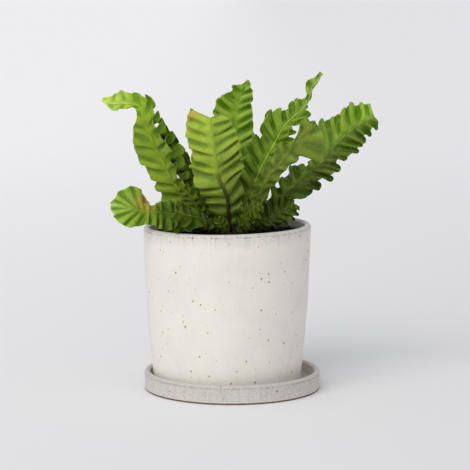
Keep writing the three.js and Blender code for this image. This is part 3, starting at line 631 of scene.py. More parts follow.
def leaf_colour(nodes, given):
    """Colour of a blade from its own values: a painted highlight on the crests and painted shade in the valleys
    between them, pale veins and margin, the rib, dry or yellow spots.
    """
    side, half_pleats, from_rib = nodes.split(nodes.attribute("blade"))
    browning, yellowing, stalk = nodes.split(nodes.attribute("marks"))
    # tint is partly the leaf's own tone and ageing and partly painted shade, low at the feet and on low or
    # shaded fronds
    tint = nodes.attribute("tint", "Fac")
    out_to = nodes.maths("ABSOLUTE", side)
    # The folds' phase picks the crests that bulge out of this side; they get a painted highlight, and the
    # valleys between them painted shade
    fold = nodes.maths("COSINE", nodes.times(nodes.plus(half_pleats, given["Painted Fold Light Phase"]), math.pi))
    crest = nodes.times(nodes.remap(fold, -0.7, 1.0), nodes.remap(out_to, 0.0, 0.35))
    painted_valley_mask = nodes.times(nodes.remap(fold, 0.1, -1.0), nodes.remap(out_to, 0.03, 0.4))
    aged = {
        "Color": nodes.scaled(given["Leaf"], tint),
        "Hue": nodes.remap(tint, 1.2, 3.5, 0.5, 0.48),
        "Saturation": nodes.remap(tint, 1.2, 3.5, 1.0, 0.8),
    }
    leaf = nodes.add("HueSaturation", aged).outputs[0]
    # dark is the leaf under the painted valley shade; the mottling next also uses it for the leaf's own darker
    # patches
    dark = nodes.mix(1.0, leaf, PAINTED_VALLEY_SHADE, "MULTIPLY")
    rib = nodes.scaled(given["Rib"], tint)
    pale = nodes.mix(0.45, leaf, rib)
    colour = nodes.mix(nodes.remap(given["Mottling"], 0.3, 0.62), dark, leaf)
    # Painted shade in the valleys, then a painted highlight on the crests together with the leaf's own pale
    # veins
    colour = nodes.mix(nodes.times(painted_valley_mask, 0.85), colour, dark)
    colour = nodes.mix(nodes.plus(nodes.times(crest, 0.52), nodes.times(given["Veins"], 0.2)), colour, pale)
    colour = nodes.mix(nodes.times(nodes.remap(out_to, 0.955, 0.995), 0.6), colour, pale)
    outer, inner = (nodes.times(given["Rib Width"], share) for share in (1.5, 0.7))
    on_rib = nodes.remap(from_rib, outer, inner)
    brown_rib = nodes.times(given["Rib Browning"], nodes.remap(stalk, 0.15, 0.85))
    rib_colour = nodes.mix(brown_rib, rib, given["Stalk"])
    colour = nodes.mix(nodes.times(on_rib, 0.85), colour, rib_colour)
    foot_colour = nodes.mix(nodes.remap(stalk, 0.1, 0.8), rib_colour, given["Stalk"])
    colour = nodes.mix(nodes.times(nodes.remap(half_pleats, 0.4, -0.5), 0.9), colour, foot_colour)
    patchy = nodes.remap(given["Mottling"], 0.3, 0.6, 0.5, 1.0)
    colour = nodes.mix(nodes.times(yellowing, patchy), colour, given["Yellow"])
    dry = nodes.remap(nodes.times(browning, patchy), 0.25, 0.6)
    return {"Colour": nodes.mix(dry, colour, given["Brown"]), "Dry": dry}


# Each group's function, and its inputs by kind
GROUPS = {
    "Iron specks": (iron_specks, {"Vector": ["Place"], "Float": ["Cells per Metre", "Radius", "Run Length"]}),
    "Glaze flow": (glaze_flow, {"Vector": ["Place"], "Float": ["Streaks per Metre"]}),
    "Side veins": (side_veins, {"Vector": ["Place"], "Float": ["Half Pleats", "Veins per Half Pleat"]}),
    "Leaf colour": (
        leaf_colour,
        {
            "Color": ["Leaf", "Rib", "Stalk", "Yellow", "Brown"],
            "Float": ["Painted Fold Light Phase", "Rib Width", "Rib Browning", "Veins", "Mottling"],
        },
    ),
}


def make_stoneware(name, rim, rise, band, thinness, streaks, foot, painted_inner_shade_strength):
    """Speckled glaze: grey where it runs thin below a rim and over edges, and bare clay below the foot line.

    The rim stands at the height rim and rises to the right by rise. The glaze is thin over a band below it,
    as grey as thinness says, with runs as strong as streaks. Clay is bare up to foot, and the last argument is
    how strong the painted shade is that darkens the inside of the pot below the rim to a soil brown.
    """
    look = settings("stoneware")
    material, nodes, shader = new_material(name)
    place = nodes.place()
    x, _, z = nodes.split(place)
    level = nodes.minus(z, nodes.times(nodes.minus(x, POT_CENTRE_X), rise))
    flow = nodes.group("Glaze flow", {"Place": place, "Streaks per Metre": 420.0})
    size = look.speck_size
    dots = {"Place": place, "Cells per Metre": SPECKS_PER_METRE, "Radius": size, "Run Length": SPECK_RUN}
    specks = nodes.group("Iron specks", dots)
    drawn = nodes.stretched(place, (1.0, 1.0, 0.5))
    dots = {"Place": drawn, "Cells per Metre": FRECKLES_PER_METRE, "Run Length": FRECKLE_RUN}
    freckles = nodes.group("Iron specks", {"Radius": size * FRECKLE_SHARE, **dots})
    wavy = nodes.plus(level, nodes.times(flow["Streaks"], band * 0.6))
    below_rim = nodes.remap(wavy, rim - band, rim + band * 0.3)
    mottled = nodes.remap(flow["Mottling"], 0.35, 0.75, 0.0, 0.16)
    streaked = nodes.remap(flow["Streaks"], 0.42, 0.72, -0.1, 0.16)
    grainy = nodes.remap(flow["Grain"], 0.3, 0.7, -0.22, 0.22)
    thin = nodes.maths("MAXIMUM", nodes.times(below_rim, thinness), mottled)
    thin = nodes.plus(thin, nodes.times(streaked, nodes.times(nodes.plus(below_rim, 0.2), streaks)))
    thin = nodes.plus(thin, nodes.times(grainy, nodes.plus(below_rim, 0.15)))
    colour = nodes.mix(thin, look.glaze, look.thin_glaze)
    lip = nodes.remap(level, rim - 0.0025, rim - 0.0005, 0.0, 0.8)
    colour = nodes.mix(nodes.times(lip, nodes.remap(flow["Grain"], 0.35, 0.6)), colour, look.thin_glaze)
    # Dark broken line where the glaze parts just below the lip
    ragged = nodes.plus(level, nodes.times(flow["Streaks"], 0.002))
    off_line = nodes.maths("ABSOLUTE", nodes.minus(ragged, rim - PARTING_DEPTH))
    broken = nodes.remap(nodes.noise(place, 520.0, 3.0, 0.7), 0.4, 0.62)
    line = nodes.times(nodes.remap(off_line, 0.0009, 0.0001), broken)
    colour = nodes.mix(nodes.times(line, 0.85), colour, nodes.mix(0.65, look.thin_glaze, look.clay))
    # Specks with their runs and halos, and rusty freckles between them
    rusty = nodes.mix(0.3, look.run, look.clay)
    colour = nodes.mix(nodes.times(specks["Run"], 0.6), colour, look.run)
    colour = nodes.mix(nodes.times(specks["Halo"], 0.22), colour, rusty)
    colour = nodes.mix(nodes.times(freckles["Speck"], 0.7), colour, rusty)
    faded = nodes.times(specks["Speck"], nodes.remap(flow["Mottling"], 0.38, 0.52, 0.35, 1.0))
    colour = nodes.mix(faded, colour, look.speck)
    # Painted shade in a soil brown on the inside of the pot, from a little below its rim down to the soil
    from_middle = nodes.vectors("SUBTRACT", place, (POT_CENTRE_X, 0.0, 0.0))
    inside = nodes.length(nodes.vectors("MULTIPLY", from_middle, (1.0, 1.0, 0.0)))
    painted_inner_shade = nodes.remap(inside, PAINTED_SHADE_RADIUS, PAINTED_SHADE_RADIUS - 0.001)
    painted_inner_shade = nodes.times(painted_inner_shade, nodes.remap(wavy, rim - 0.002, rim - 0.006))
    painted_inner_shade = nodes.times(painted_inner_shade, nodes.remap(level, 0.12, 0.124, 0.0, painted_inner_shade_strength))
    colour = nodes.mix(painted_inner_shade, colour, look.painted_inner_shade)
    bare = nodes.remap(nodes.plus(z, nodes.times(flow["Streaks"], 0.0008)), foot + 0.0002, foot)
    nodes.feed(shader["Base Color"], nodes.mix(bare, colour, look.clay))
    gloss = nodes.remap(flow["Mottling"], 0.3, 0.7, 0.36, 0.52)
    nodes.feed(shader["Roughness"], nodes.maths("MAXIMUM", gloss, nodes.times(bare, 0.85)))
    rings = nodes.noise(nodes.stretched(place, (0.02, 0.02, 1.0)), 260.0, 2.0)
    height = nodes.plus(nodes.times(flow["Grain"], 0.25), rings)
    height = nodes.minus(height, nodes.times(specks["Speck"], 0.8))
    nodes.feed(shader["Normal"], nodes.bump(height, 0.35, 0.0004))
    return material


def make_earth(name, dark, light, scale, roughness, depth):
    """Dull, crumbly material that varies between two browns."""
    material, nodes, shader = new_material(name)
    place = nodes.place()
    patches = nodes.remap(nodes.noise(place, scale, 4.0, 0.65), 0.42, 0.68)
    fibres = nodes.noise(nodes.stretched(place, (1.0, 0.3, 1.0)), scale * 4.0, 3.0, 0.7)
    amount = nodes.times(patches, nodes.remap(fibres, 0.35, 0.7, 0.2, 1.0))
    nodes.feed(shader["Base Color"], nodes.mix(amount, dark, light))
    shader["Roughness"].default_value = roughness
    shader["Specular IOR Level"].default_value = 0.2
    nodes.feed(shader["Normal"], nodes.bump(fibres, 0.8, depth))
    return material


def make_leaf(name, colour, upper):
    """Green of one side of the fronds: glossy on the upper side, duller and paler below."""
    look = settings("fronds")
    material, nodes, shader = new_material(name)
    place = nodes.place()
    half_pleats = nodes.split(nodes.attribute("blade"))[1]
    counts = {"Place": place, "Half Pleats": half_pleats, "Veins per Half Pleat": look.veins / 2}
    veins = nodes.group("Side veins", counts)
    tinted = nodes.group(
        "Leaf colour",
        {
            "Leaf": colour,
            "Rib": look.rib if upper else look.rib_below,
            "Stalk": look.stalk,
            "Yellow": look.yellow,
            "Brown": look.brown,
            "Painted Fold Light Phase": 0.0 if upper else 1.0,
            "Rib Width": 0.45 if upper else 0.95,
            "Rib Browning": 0.5 if upper else 1.0,
            "Veins": veins["Veins"],
            "Mottling": veins["Mottling"],
        },
    )
    nodes.feed(shader["Base Color"], tinted["Colour"])
    low, high = (0.17, 0.3) if upper else (0.26, 0.4)
    gloss = nodes.remap(veins["Mottling"], 0.3, 0.7, low, high)
    nodes.feed(shader["Roughness"], nodes.maths("MAXIMUM", gloss, nodes.times(tinted["Dry"], 0.8)))
    nodes.feed(shader["Normal"], nodes.bump(veins["Height"], 0.25 if upper else 0.35, 0.0002))
    shader["Specular IOR Level"].default_value = 0.3
    shader["Specular Tint"].default_value = (0.85, 1.0, 0.55, 1.0)
    shader["Subsurface Weight"].default_value = 0.25
    shader["Subsurface Radius"].default_value = (0.6, 1.0, 0.2)
    shader["Subsurface Scale"].default_value = 0.001
    return material


def new_object(name, data):
    item = bpy.data.objects.new(name, data)
    bpy.context.scene.collection.objects.link(item)
    return item


def mesh_of(shape, name):
    """New mesh of a bmesh, which is freed."""
    mesh = bpy.data.meshes.new(name)
    shape.to_mesh(mesh)
    shape.free()
    return mesh


def points_of(mesh):
    points = np.empty(len(mesh.vertices) * 3)
    mesh.vertices.foreach_get("co", points)
    return points.reshape(-1, 3)


def place_piece(shape, name, materials, node, slack):
    """New object at the origin from a bmesh. It rides the root body and stands for its solid."""
    mesh = mesh_of(shape, name)
    for material in materials:
        mesh.materials.append(material)
    mesh.polygons.foreach_set("use_smooth", [True] * len(mesh.polygons))
    piece = new_object(name, mesh)
    points = points_of(mesh)
    off = np.abs(np.array([points.min(0), points.max(0)]) - np.array(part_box(node))).max()
    if off > slack:
        raise RuntimeError(f"{name} leaves the box of {node} by {off * 1000:.1f} mm")
    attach(piece, "root")
    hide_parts(node)


def turned(corners, steps, closed=False):
    """Solid spun about Z from (radius, height) corners. A corner with a rounding and segments is bevelled."""
    shape = bmesh.new()
    points = [shape.verts.new((radius, 0.0, height)) for radius, height, *_ in corners]
    lines = [shape.edges.new(pair) for pair in zip(points, points[1:])]
    if closed:
        lines.append(shape.edges.new((points[-1], points[0])))
    spin = {"cent": (0.0, 0.0, 0.0), "axis": (0.0, 0.0, 1.0), "angle": 2.0 * math.pi, "use_merge": True}
    bmesh.ops.spin(shape, geom=points + lines, steps=steps, **spin)
    bmesh.ops.remove_doubles(shape, verts=shape.verts[:], dist=1e-6)
    bmesh.ops.recalc_face_normals(shape, faces=shape.faces[:])
    for radius, height, *rounding in corners:
        if rounding:
            ring = [edge for edge in shape.edges if all(on_ring(end, radius, height) for end in edge.verts)]
            kind = {"offset_type": "OFFSET", "profile": 0.5, "affect": "EDGES", "material": -1}
            bmesh.ops.bevel(shape, geom=ring, offset=rounding[0], segments=rounding[1], **kind)
    return shape


def on_ring(vertex, radius, height):
    return abs(vertex.co.z - height) < 1e-5 and abs(vertex.co.xy.length - radius) < 1e-5


def hand_wobble(place, seed, amount):
    """Slow unevenness of a wall thrown by hand."""
    turn = math.atan2(place.y, place.x)
    around = Vector((math.cos(turn), math.sin(turn), place.z * 16.0))
    return amount * noise.noise(around * 1.3 + Vector((seed, 0.0, 0.0)))


def pot_radius(height):
    """Outer radius of the pot's straight wall at a height."""
    size = settings("stoneware")
    taper = (size.rim_radius - size.foot_radius) / (size.rim_height - SAUCER_FLOOR)
    return size.foot_radius + taper * (height - SAUCER_FLOOR)


def wall_bow(height):
    """How far the pot's wall bows out at a height."""
    span = settings("stoneware").rim_height - SAUCER_FLOOR
    return WALL_BOW * math.sin(math.pi * (height - SAUCER_FLOOR) / span)


class FERN_OT_saucer(bpy.types.Operator):
    """Turns the saucer: rounded lip, coved floor, bevelled foot and speckled glaze"""

    bl_idname = "fern.saucer"
    bl_label = "Saucer"

    def execute(self, context):
        size = settings("stoneware")
        radius, height, wall = size.saucer_radius, size.saucer_height, size.saucer_wall
        lip = (wall * LIP_ROUNDING, 6)
        shape = turned(
            [
                (0.0, 0.0),
                (radius - 0.0006, 0.0, 0.0011, 3),
                (radius, height, *lip),
                (radius - wall, height, *lip),
                (radius - wall - 0.0003, SAUCER_FLOOR, 0.003, 5),
                (0.0, SAUCER_FLOOR),
            ],
            192,
        )
        for vertex in shape.verts:
            reach = vertex.co.xy.length
            if reach < 0.05:
                continue
            lift = min(1.0, vertex.co.z / height)
            vertex.co.z += 0.00012 * lift * noise.noise(vertex.co * 28.0)
            vertex.co.xy *= 1.0 + hand_wobble(vertex.co, 3.0, SAUCER_WOBBLE) * lift / reach
        look = {"band": 0.03, "thinness": 0.95, "streaks": 0.35, "foot": 0.0017, "painted_inner_shade_strength": 0.0}
        glaze = make_stoneware("Speckled stoneware saucer", height, 0.0, **look)
        place_piece(shape, "stoneware_saucer", [glaze], "saucer", CLAY_SLACK)
        return {"FINISHED"}


class FERN_OT_pot(bpy.types.Operator):
    """Throws the pot: bowed wall, rounded rim that rises to the right, drain hole and speckled glaze"""

    bl_idname = "fern.pot"
    bl_label = "Pot"

    def execute(self, context):
        size = settings("stoneware")
        rim, wall = size.rim_height, size.pot_wall
        lip = (wall * LIP_ROUNDING, 6)
        shape = turned(
            [
                (size.drain_radius, POT_BASE, 0.0008, 2),
                (size.foot_radius, POT_BASE, 0.0012, 3),
                (size.rim_radius, rim, *lip),
                (size.rim_radius - wall, rim, *lip),
                (pot_radius(POT_FLOOR_TOP) - wall, POT_FLOOR_TOP, 0.005, 5),
                (size.drain_radius, POT_FLOOR_TOP, 0.0008, 2),
            ],
            216,
            closed=True,
        )
        # The long upright edges are cut so that the wall can bow and wobble
        upright = [edge for edge in shape.edges if abs(edge.verts[0].co.z - edge.verts[1].co.z) > 0.05]
        bmesh.ops.subdivide_edges(shape, edges=upright, cuts=30, use_grid_fill=True)
        for vertex in shape.verts:
            share = (vertex.co.z - SAUCER_FLOOR) / (rim - SAUCER_FLOOR)
            raised = (vertex.co.z - POT_BASE) / (rim - POT_BASE)
            reach = vertex.co.xy.length
            if reach > 0.045:
                bowed = wall_bow(vertex.co.z) + hand_wobble(vertex.co, 0.0, POT_WOBBLE) * min(1, share * 4)
                vertex.co.xy *= 1.0 + bowed / reach
            vertex.co.z += RIM_RISE * vertex.co.x * raised + 0.00015 * raised * noise.noise(vertex.co * 24.0)
            vertex.co.x += POT_CENTRE_X
        # The last value is the strength of the painted shade inside the pot below its rim
        look = {"band": 0.012, "thinness": 0.55, "streaks": 1.0, "foot": 0.0, "painted_inner_shade_strength": 0.9}
        glaze = make_stoneware("Speckled stoneware pot", rim, RIM_RISE, **look)
        place_piece(shape, "stoneware_pot", [glaze], "pot", CLAY_SLACK)
        return {"FINISHED"}


def soil_height(share):
    """Height of the soil's top at a share of the way from its middle to its edge."""
    return SOIL_TOP - SOIL_EDGE_DROP * share**6


def spot_in_disc(rng, radius, least, most):
    """Random place in a disc round the pot's middle, between two shares of its area, its turn and reach."""
    turn, reach = rng.uniform(0, 2 * math.pi), math.sqrt(rng.uniform(least, most)) * radius
    return Vector((reach * math.cos(turn) + POT_CENTRE_X, reach * math.sin(turn), 0.0)), turn, reach


class FERN_OT_soil(bpy.types.Operator):
    """Fills the pot with potting soil, uneven on top, with loose crumbs and bits of bark"""

    bl_idname = "fern.soil"
    bl_label = "Potting soil"

    def execute(self, context):
        size, look = settings("stoneware"), settings("soil")
        gap = size.pot_wall + SOIL_GAP
        edge = pot_radius(SOIL_TOP) - gap
        foot = size.foot_radius - gap - 0.005
        corners = [(0.0, SOIL_BOTTOM), (foot, SOIL_BOTTOM), (edge, soil_height(1)), (0.0, SOIL_TOP)]
        shape = turned(corners, 144)
        top = [each for each in shape.edges if max(vertex.co.z for vertex in each.verts) > SOIL_TOP - 1e-5]
        bmesh.ops.subdivide_edges(shape, edges=top, cuts=40, use_grid_fill=True)
        for vertex in shape.verts:
            reach = vertex.co.xy.length
            if vertex.co.z > 0.12:
                share = min(1.0, reach / edge)
                vertex.co.z = soil_height(share)
                if share < 0.999:
                    vertex.co.z += SOIL_ROUGHNESS * noise.fractal(vertex.co * 160.0, 0.6, 2.0, 4)
                elif reach > 0:
                    vertex.co.xy *= 1.0 + wall_bow(SOIL_TOP) / reach
            vertex.co.x += POT_CENTRE_X
        rng = np.random.default_rng(look.seed)
        crumbs_from = len(shape.faces)
        for _ in range(look.crumbs):
            middle, _, reach = spot_in_disc(rng, edge, 0.07, 0.96)
            radius = look.crumb_size * rng.lognormal(0.0, 0.4)
            middle.z = soil_height(reach / edge) + radius * rng.uniform(-0.1, 0.5)
            turned_by = Euler(rng.uniform(0, 6.3, 3)).to_matrix().to_4x4()
            flat = rng.uniform(0.35, 0.9)
            place = Matrix.Translation(middle) @ turned_by
            place = place @ Matrix.Diagonal((1.0, rng.uniform(0.6, 1.6), flat, 1.0))
            crumb = bmesh.ops.create_icosphere(shape, subdivisions=1, radius=radius, matrix=place)["verts"]
            for vertex in crumb:
                vertex.co += Vector(rng.uniform(-0.28, 0.28, 3)) * radius
        shape.faces.ensure_lookup_table()
        for face in shape.faces[crumbs_from:]:
            face.material_index = 1 if (face.index // CRUMB_FACES) % BARK_EVERY == 0 else 0
        loose = make_earth("Potting soil", look.soil, [part * 2.2 for part in look.soil], 240.0, 0.95, 0.0012)
        bark = make_earth("Bark crumbs", look.soil, look.bark, 300.0, 0.9, 0.0006)
        place_piece(shape, "potting_soil_crumbs", [loose, bark], "soil", SOIL_SLACK)
        return {"FINISHED"}


class FERN_OT_crown(bpy.types.Operator):
    """Raises the crown: a low knobbly dome, thick with narrow papery scales between the stalks"""

    bl_idname = "fern.crown"
    bl_label = "Crown"

    def execute(self, context):
        look = settings("crown")
        shape = turned(
            [
                (0.0, CROWN_BOTTOM),
                (look.radius, CROWN_BOTTOM, 0.001, 2),
                (look.radius, SOIL_TOP + 0.0002),
                (look.radius * 0.8, SOIL_TOP + 0.0014),
                (look.radius * 0.4, CROWN_TOP - 0.0004),
                (0.0, CROWN_TOP),
            ],
            72,
        )
        dome = [edge for edge in shape.edges if min(vertex.co.z for vertex in edge.verts) > SOIL_TOP]
        bmesh.ops.subdivide_edges(shape, edges=dome, cuts=2, use_grid_fill=True)
        for vertex in shape.verts:
            if vertex.co.z > SOIL_TOP:
                vertex.co += Vector((0.0, 0.0, 0.0009)) * noise.fractal(vertex.co * 210.0, 0.7, 2.0, 3)
        bmesh.ops.translate(shape, verts=shape.verts[:], vec=(POT_CENTRE_X, 0.0, 0.0))
        rng = np.random.default_rng(11)
        feet = [Vector(frond["midrib"][0]) for frond in FRONDS]
        dome_faces = len(shape.faces)
        placed = 0
        while placed < look.scales:
            foot, turn, reach = spot_in_disc(rng, look.radius, 0.01, 1.0)
            if min((foot - stalk).xy.length for stalk in feet) < STALK_ROOM:
                continue
            foot.z = SOIL_TOP + (CROWN_TOP - SOIL_TOP) * (1 - (reach / look.radius) ** 2) - 0.0008
            tilt = math.radians(rng.uniform(15, 55) + 30 * reach / look.radius)
            place = Matrix.Translation(foot) @ Matrix.Rotation(turn + rng.normal(0, 0.5), 4, "Z")
            place = place @ Matrix.Rotation(tilt, 4, "Y")
            add_scale(shape, place, look.scale_length * rng.uniform(0.6, 1.15), rng)
            placed += 1
        shape.faces.ensure_lookup_table()
        for face in shape.faces[dome_faces:]:
            face.material_index = 1
        body = make_earth("Crown under the scales", look.body, look.scale, 320.0, 0.9, 0.0008)
        dark, light = ([part * share for part in look.scale] for share in (0.5, 1.8))
        papery = make_earth("Papery scales", dark, light, 420.0, 0.6, 0.0002)
        place_piece(shape, "scaly_crown", [body, papery], "crown", CROWN_SLACK)
        return {"FINISHED"}


def add_scale(shape, place, length, rng):
    """One narrow scale that stands along the place's Z and bends over at its tip."""
    strip = bmesh.ops.create_grid(shape, x_segments=2, y_segments=5, size=0.5)["verts"]
    bend = rng.uniform(0.1, 0.5)
    for vertex in strip:
        share = vertex.co.y + 0.5
        width = SCALE_WIDTH * math.sin(math.pi * (0.18 + 0.8 * share)) ** 0.8
        cupped = 0.0004 * (1 - (2 * vertex.co.x) ** 2)
        vertex.co = place @ Vector((bend * length * share**2 + cupped, vertex.co.x * width, length * share))
    faces = list(dict.fromkeys(face for vertex in strip for face in vertex.link_faces))
    bmesh.ops.solidify(shape, geom=faces, thickness=SCALE_THICKNESS)


def smooth_values(values, shares):
    """Values along a smooth curve through evenly spaced ones, at shares from 0 to 1."""
    values = np.asarray(values, float)
    single = values.ndim == 1
    values = values[:, None] if single else values
    padded = np.vstack([2 * values[0] - values[1], values, 2 * values[-1] - values[-2]])
    place = np.clip(shares, 0.0, 1.0) * (len(values) - 1)
    start = np.minimum(place.astype(int), len(values) - 2)
    f = (place - start)[..., None]
    a, b, c, d = (padded[start + k] for k in range(4))
    read = b + 0.5 * f * (c - a + f * (2 * a - 5 * b + 4 * c - d + f * (3 * b - a - 3 * c + d)))
    return read[..., 0] if single else read


def unit(vectors):
    return vectors / np.linalg.norm(vectors, axis=-1, keepdims=True)


class Midrib:
    """The line of a frond's rib, read by share of its length."""

    def __init__(self, frond):
        self.line = smooth_values(frond["midrib"], np.linspace(0.0, 1.0, 801))
        walked = np.concatenate([[0.0], np.cumsum(np.linalg.norm(np.diff(self.line, axis=0), axis=1))])
        self.length = walked[-1]
        self.shares = walked / self.length
        self.tangents = unit(np.gradient(self.line, self.shares, axis=0))
        self.upper_side = frond["upper_side"]

    def read(self, table, shares):
        return np.stack([np.interp(shares, self.shares, table[:, axis]) for axis in range(3)], axis=-1)

    def frame_at(self, shares):
        """Points of the rib, and the blade's own directions there. Past the tip the line runs straight on."""
        held = np.clip(shares, 0.0, 1.0)
        along = unit(self.read(self.tangents, held))
        point = self.read(self.line, held) + along * ((shares - held) * self.length)[..., None]
        across = unit(np.cross(along, smooth_values(self.upper_side, held)))
        return point, across, np.cross(across, along)


def smooth_step(value, low, high):
    """0 below low, 1 above high and a smooth rise between them."""
    share = np.clip((value - low) / (high - low), 0.0, 1.0)
    return share * share * (3 - 2 * share)


def crinkle(q, v, seed):
    """Slow, irregular waves between -1 and 1, for the unevenness that no two pleats share."""
    rng = np.random.default_rng(seed)
    total = 0.0
    for _ in range(7):
        turn = rng.uniform(0.5, 3.1) * q + rng.uniform(-7.0, 7.0) * v + rng.uniform(0.0, 6.3)
        total = total + np.sin(turn) / 7
    return total * 1.6


def blade_surface(frond, midrib, rho, v):
    """Middle surface of a frond. rho runs from -1 at the foot to 0 at the blade's start and then by half
    pleats, and v from -1 at the left margin to 1 at the right one. Gives its points, the rib's upward
    direction, the pleats' length and the blade's weight, which is 0 on the round stalk and 1 on the blade."""
    rows = 2 * frond["pleats"]
    bare, phase = frond["bare"], frond["phase"]
    q = np.maximum(rho, 0.0)
    stalk = 1.0 + np.minimum(rho, 0.0)
    weight = smooth_step(stalk, 0.35, 1.0)
    sign = np.where(v < 0, -1.0, 1.0)
    width = np.abs(v)
    even = (q + UNEVENNESS * np.sin(1.9 * q + phase) * np.sin(math.pi * q / rows)) / rows
    t = even + frond["gather"] * even * (1 - even)

    def by_side(key, pick=lambda value: value):
        return np.where(v < 0, pick(frond["left"][key]), pick(frond["right"][key]))

    def along_side(key):
        return by_side(key, lambda values: smooth_values(values, t))

    pleat = np.cos(math.pi * q)
    crest = by_side("crest") * (1 - np.cos(2 * math.pi * q)) / 2
    deep = along_side("deep") * (1 - smooth_step(q, rows - 1.5, rows))
    folded = np.minimum(1.0, deep / FULL_PLEAT_DEPTH)
    scallop = by_side("lobe") * folded * (np.abs(pleat) ** 0.7 - 1)
    pleat_length = along_side("long") * (1 + LOBING * pleat + scallop)
    lean = along_side("lean")
    lean = np.radians(np.where(lean > STEEP_LEAN, STEEP_LEAN + (lean - STEEP_LEAN) * STEEP_GAIN, lean))
    reach = width * pleat_length * np.cos(lean)
    ahead = width * pleat_length * np.sin(lean) / midrib.length
    shares = np.where(rho < 0, bare * stalk, bare + (1 - bare) * t) + ahead * weight
    fade = np.sin(math.pi * np.clip(q / rows, 0, 1)) ** 0.5
    overhang = by_side("curl") * np.sin(2 * math.pi * q) * width**1.5 * fade * folded
    point, across, up = midrib.frame_at(shares + overhang * (1 - bare) / rows)
    rise_start, rise_end = (np.radians(by_side("rise", lambda rise: rise[k])) for k in (0, 1))
    flat_from = by_side("flat_from")
    rise_end = rise_end * (1 - smooth_step(t, flat_from, flat_from + FLATTENING))
    turn = rise_start + (rise_end - rise_start) * width / 2
    slope = rise_start + (rise_end - rise_start) * width
    variation = 1 + DEPTH_VARIATION * np.sin(2.3 * q + phase + sign)
    fullness = np.minimum(1.0, pleat_length / FULL_PLEAT_LENGTH)
    wave = deep * variation * fullness * width**DEPTH_POWER * weight
    outward = across * sign[..., None]
    normal = up * np.cos(slope)[..., None] - outward * np.sin(slope)[..., None]
    seed = int(phase * 10)
    rough = frond["crumple"] * crinkle(q, v, seed) * width * fullness * weight
    frilled = np.sin(2 * math.pi * q * 0.77 + 3 * crinkle(q, v, seed + 50))
    frill = by_side("frill") * wave * width**3 * frilled
    height = wave * (pleat + crest) + rough + frill
    place = point + outward * (reach * np.cos(turn) * weight)[..., None]
    place = place + up * (reach * np.sin(turn) * weight)[..., None] + normal * height[..., None]
    round_part = (STALK_RADIUS * (1 - weight) * np.sin(v * math.pi / 2))[..., None] * across
    return place + round_part, up, pleat_length, weight


def frond_shape(frond, thickness):
    """Closed skin of one frond: over its upper side from the left margin, and back along its underside.

    Each point keeps the attributes that its material reads: blade, with its place across, its place along in
    half pleats and its distance from the rib in millimetres, tint, and marks."""
    midrib = Midrib(frond)
    rows = 2 * frond["pleats"]
    half = ROWS_PER_PLEAT // 2
    rho = np.concatenate([[-1.0], np.linspace(-1.0, 0.0, STALK_ROWS), np.arange(1, rows * half + 1) / half])
    v = np.concatenate([-np.array(COLUMNS[:0:-1]), COLUMNS])
    rho_grid, v_grid = np.meshgrid(rho, v, indexing="ij")
    place, up, pleat_length, weight = blade_surface(frond, midrib, rho_grid, v_grid)
    forward = np.gradient(place[1:], axis=0)[np.r_[0, : len(rho) - 1]]
    facing = unit(np.cross(np.gradient(place, axis=1), forward))
    facing = unit(facing * weight[..., None] + up * (1 - weight)[..., None])
    done = np.clip(rho_grid / rows, 0.0, 1.0)
    width = np.abs(v_grid)
    blade_half = thickness / 2 * np.sqrt(np.clip((1 - width) / 0.05, 0.0, 1.0)) * (1 - 0.3 * width)
    round_half = STALK_RADIUS * np.cos(v_grid * math.pi / 2)
    rib_half = np.minimum(RIB_HALF_WIDTH - RIB_NARROWING * done, 0.55 * pleat_length)
    from_rib = width * pleat_length
    arch = np.sqrt(np.clip(1 - (from_rib / rib_half) ** 2, 0.0, 1.0))
    rib = RIB_DEPTH * (1 - RIB_TAPER * done) * arch * np.minimum(1.0, pleat_length / FULL_RIB_LENGTH)
    above = blade_half * weight + round_half * (1 - weight) - CHANNEL_DEPTH * arch * weight
    below = (blade_half + rib) * weight + round_half * (1 - weight)
    above[-1] = below[-1] = 0.0
    upper = place + facing * above[..., None]
    lower = place - facing * below[..., None]
    upper[0] = lower[0] = midrib.frame_at(np.array([0.0]))[0][0]

    lines, around = len(rho), 2 * (len(v) - 1)
    shape = bmesh.new()
    bmesh.ops.create_grid(shape, x_segments=lines - 1, y_segments=around, size=0.5)
    mesh = mesh_of(shape, "frond skin")
    flat = points_of(mesh)
    i = np.rint((flat[:, 0] + 0.5) * (lines - 1)).astype(int)
    k = np.rint((flat[:, 1] + 0.5) * around).astype(int)
    on_top = k <= len(v) - 1
    j = np.where(on_top, k, around - k)
    points = np.where(on_top[:, None], upper[i, j], lower[i, j])
    mesh.vertices.foreach_set("co", points.ravel())

    # Painted light and shade: each side is made brighter or darker by its light, as its facing to the light
    # would make it
    light = smooth_step(v_grid, -0.15, 0.15)
    light = frond["left"]["light"] + (frond["right"]["light"] - frond["left"]["light"]) * light
    kept = {
        "blade": np.stack([v_grid, rho_grid, (from_rib - frond["rib"]) * 1000], axis=-1),
        # The tint is partly the leaf's own tone and partly painted shade
        "tint": smooth_values(frond["tint"], done) * light,
        "marks": frond_marks(frond, place, rho_grid, v_grid),
    }
    for name, values in kept.items():
        kind, field = ("FLOAT", "value") if values.ndim == 2 else ("FLOAT_VECTOR", "vector")
        mesh.attributes.new(name, kind, "POINT").data.foreach_set(field, values[i, j].ravel())
    faces = np.empty(len(mesh.polygons) * 4, int)
    mesh.polygons.foreach_get("vertices", faces)
    underside = (k[faces.reshape(-1, 4)].min(1) >= len(v) - 1).astype(int)
    mesh.polygons.foreach_set("material_index", underside)

    shape = bmesh.new()
    shape.from_mesh(mesh)
    bpy.data.meshes.remove(mesh)
    seam = [vertex for vertex in shape.verts if vertex.is_boundary]
    bmesh.ops.remove_doubles(shape, verts=seam, dist=2e-7)
    bmesh.ops.recalc_face_normals(shape, faces=shape.faces[:])
    return shape


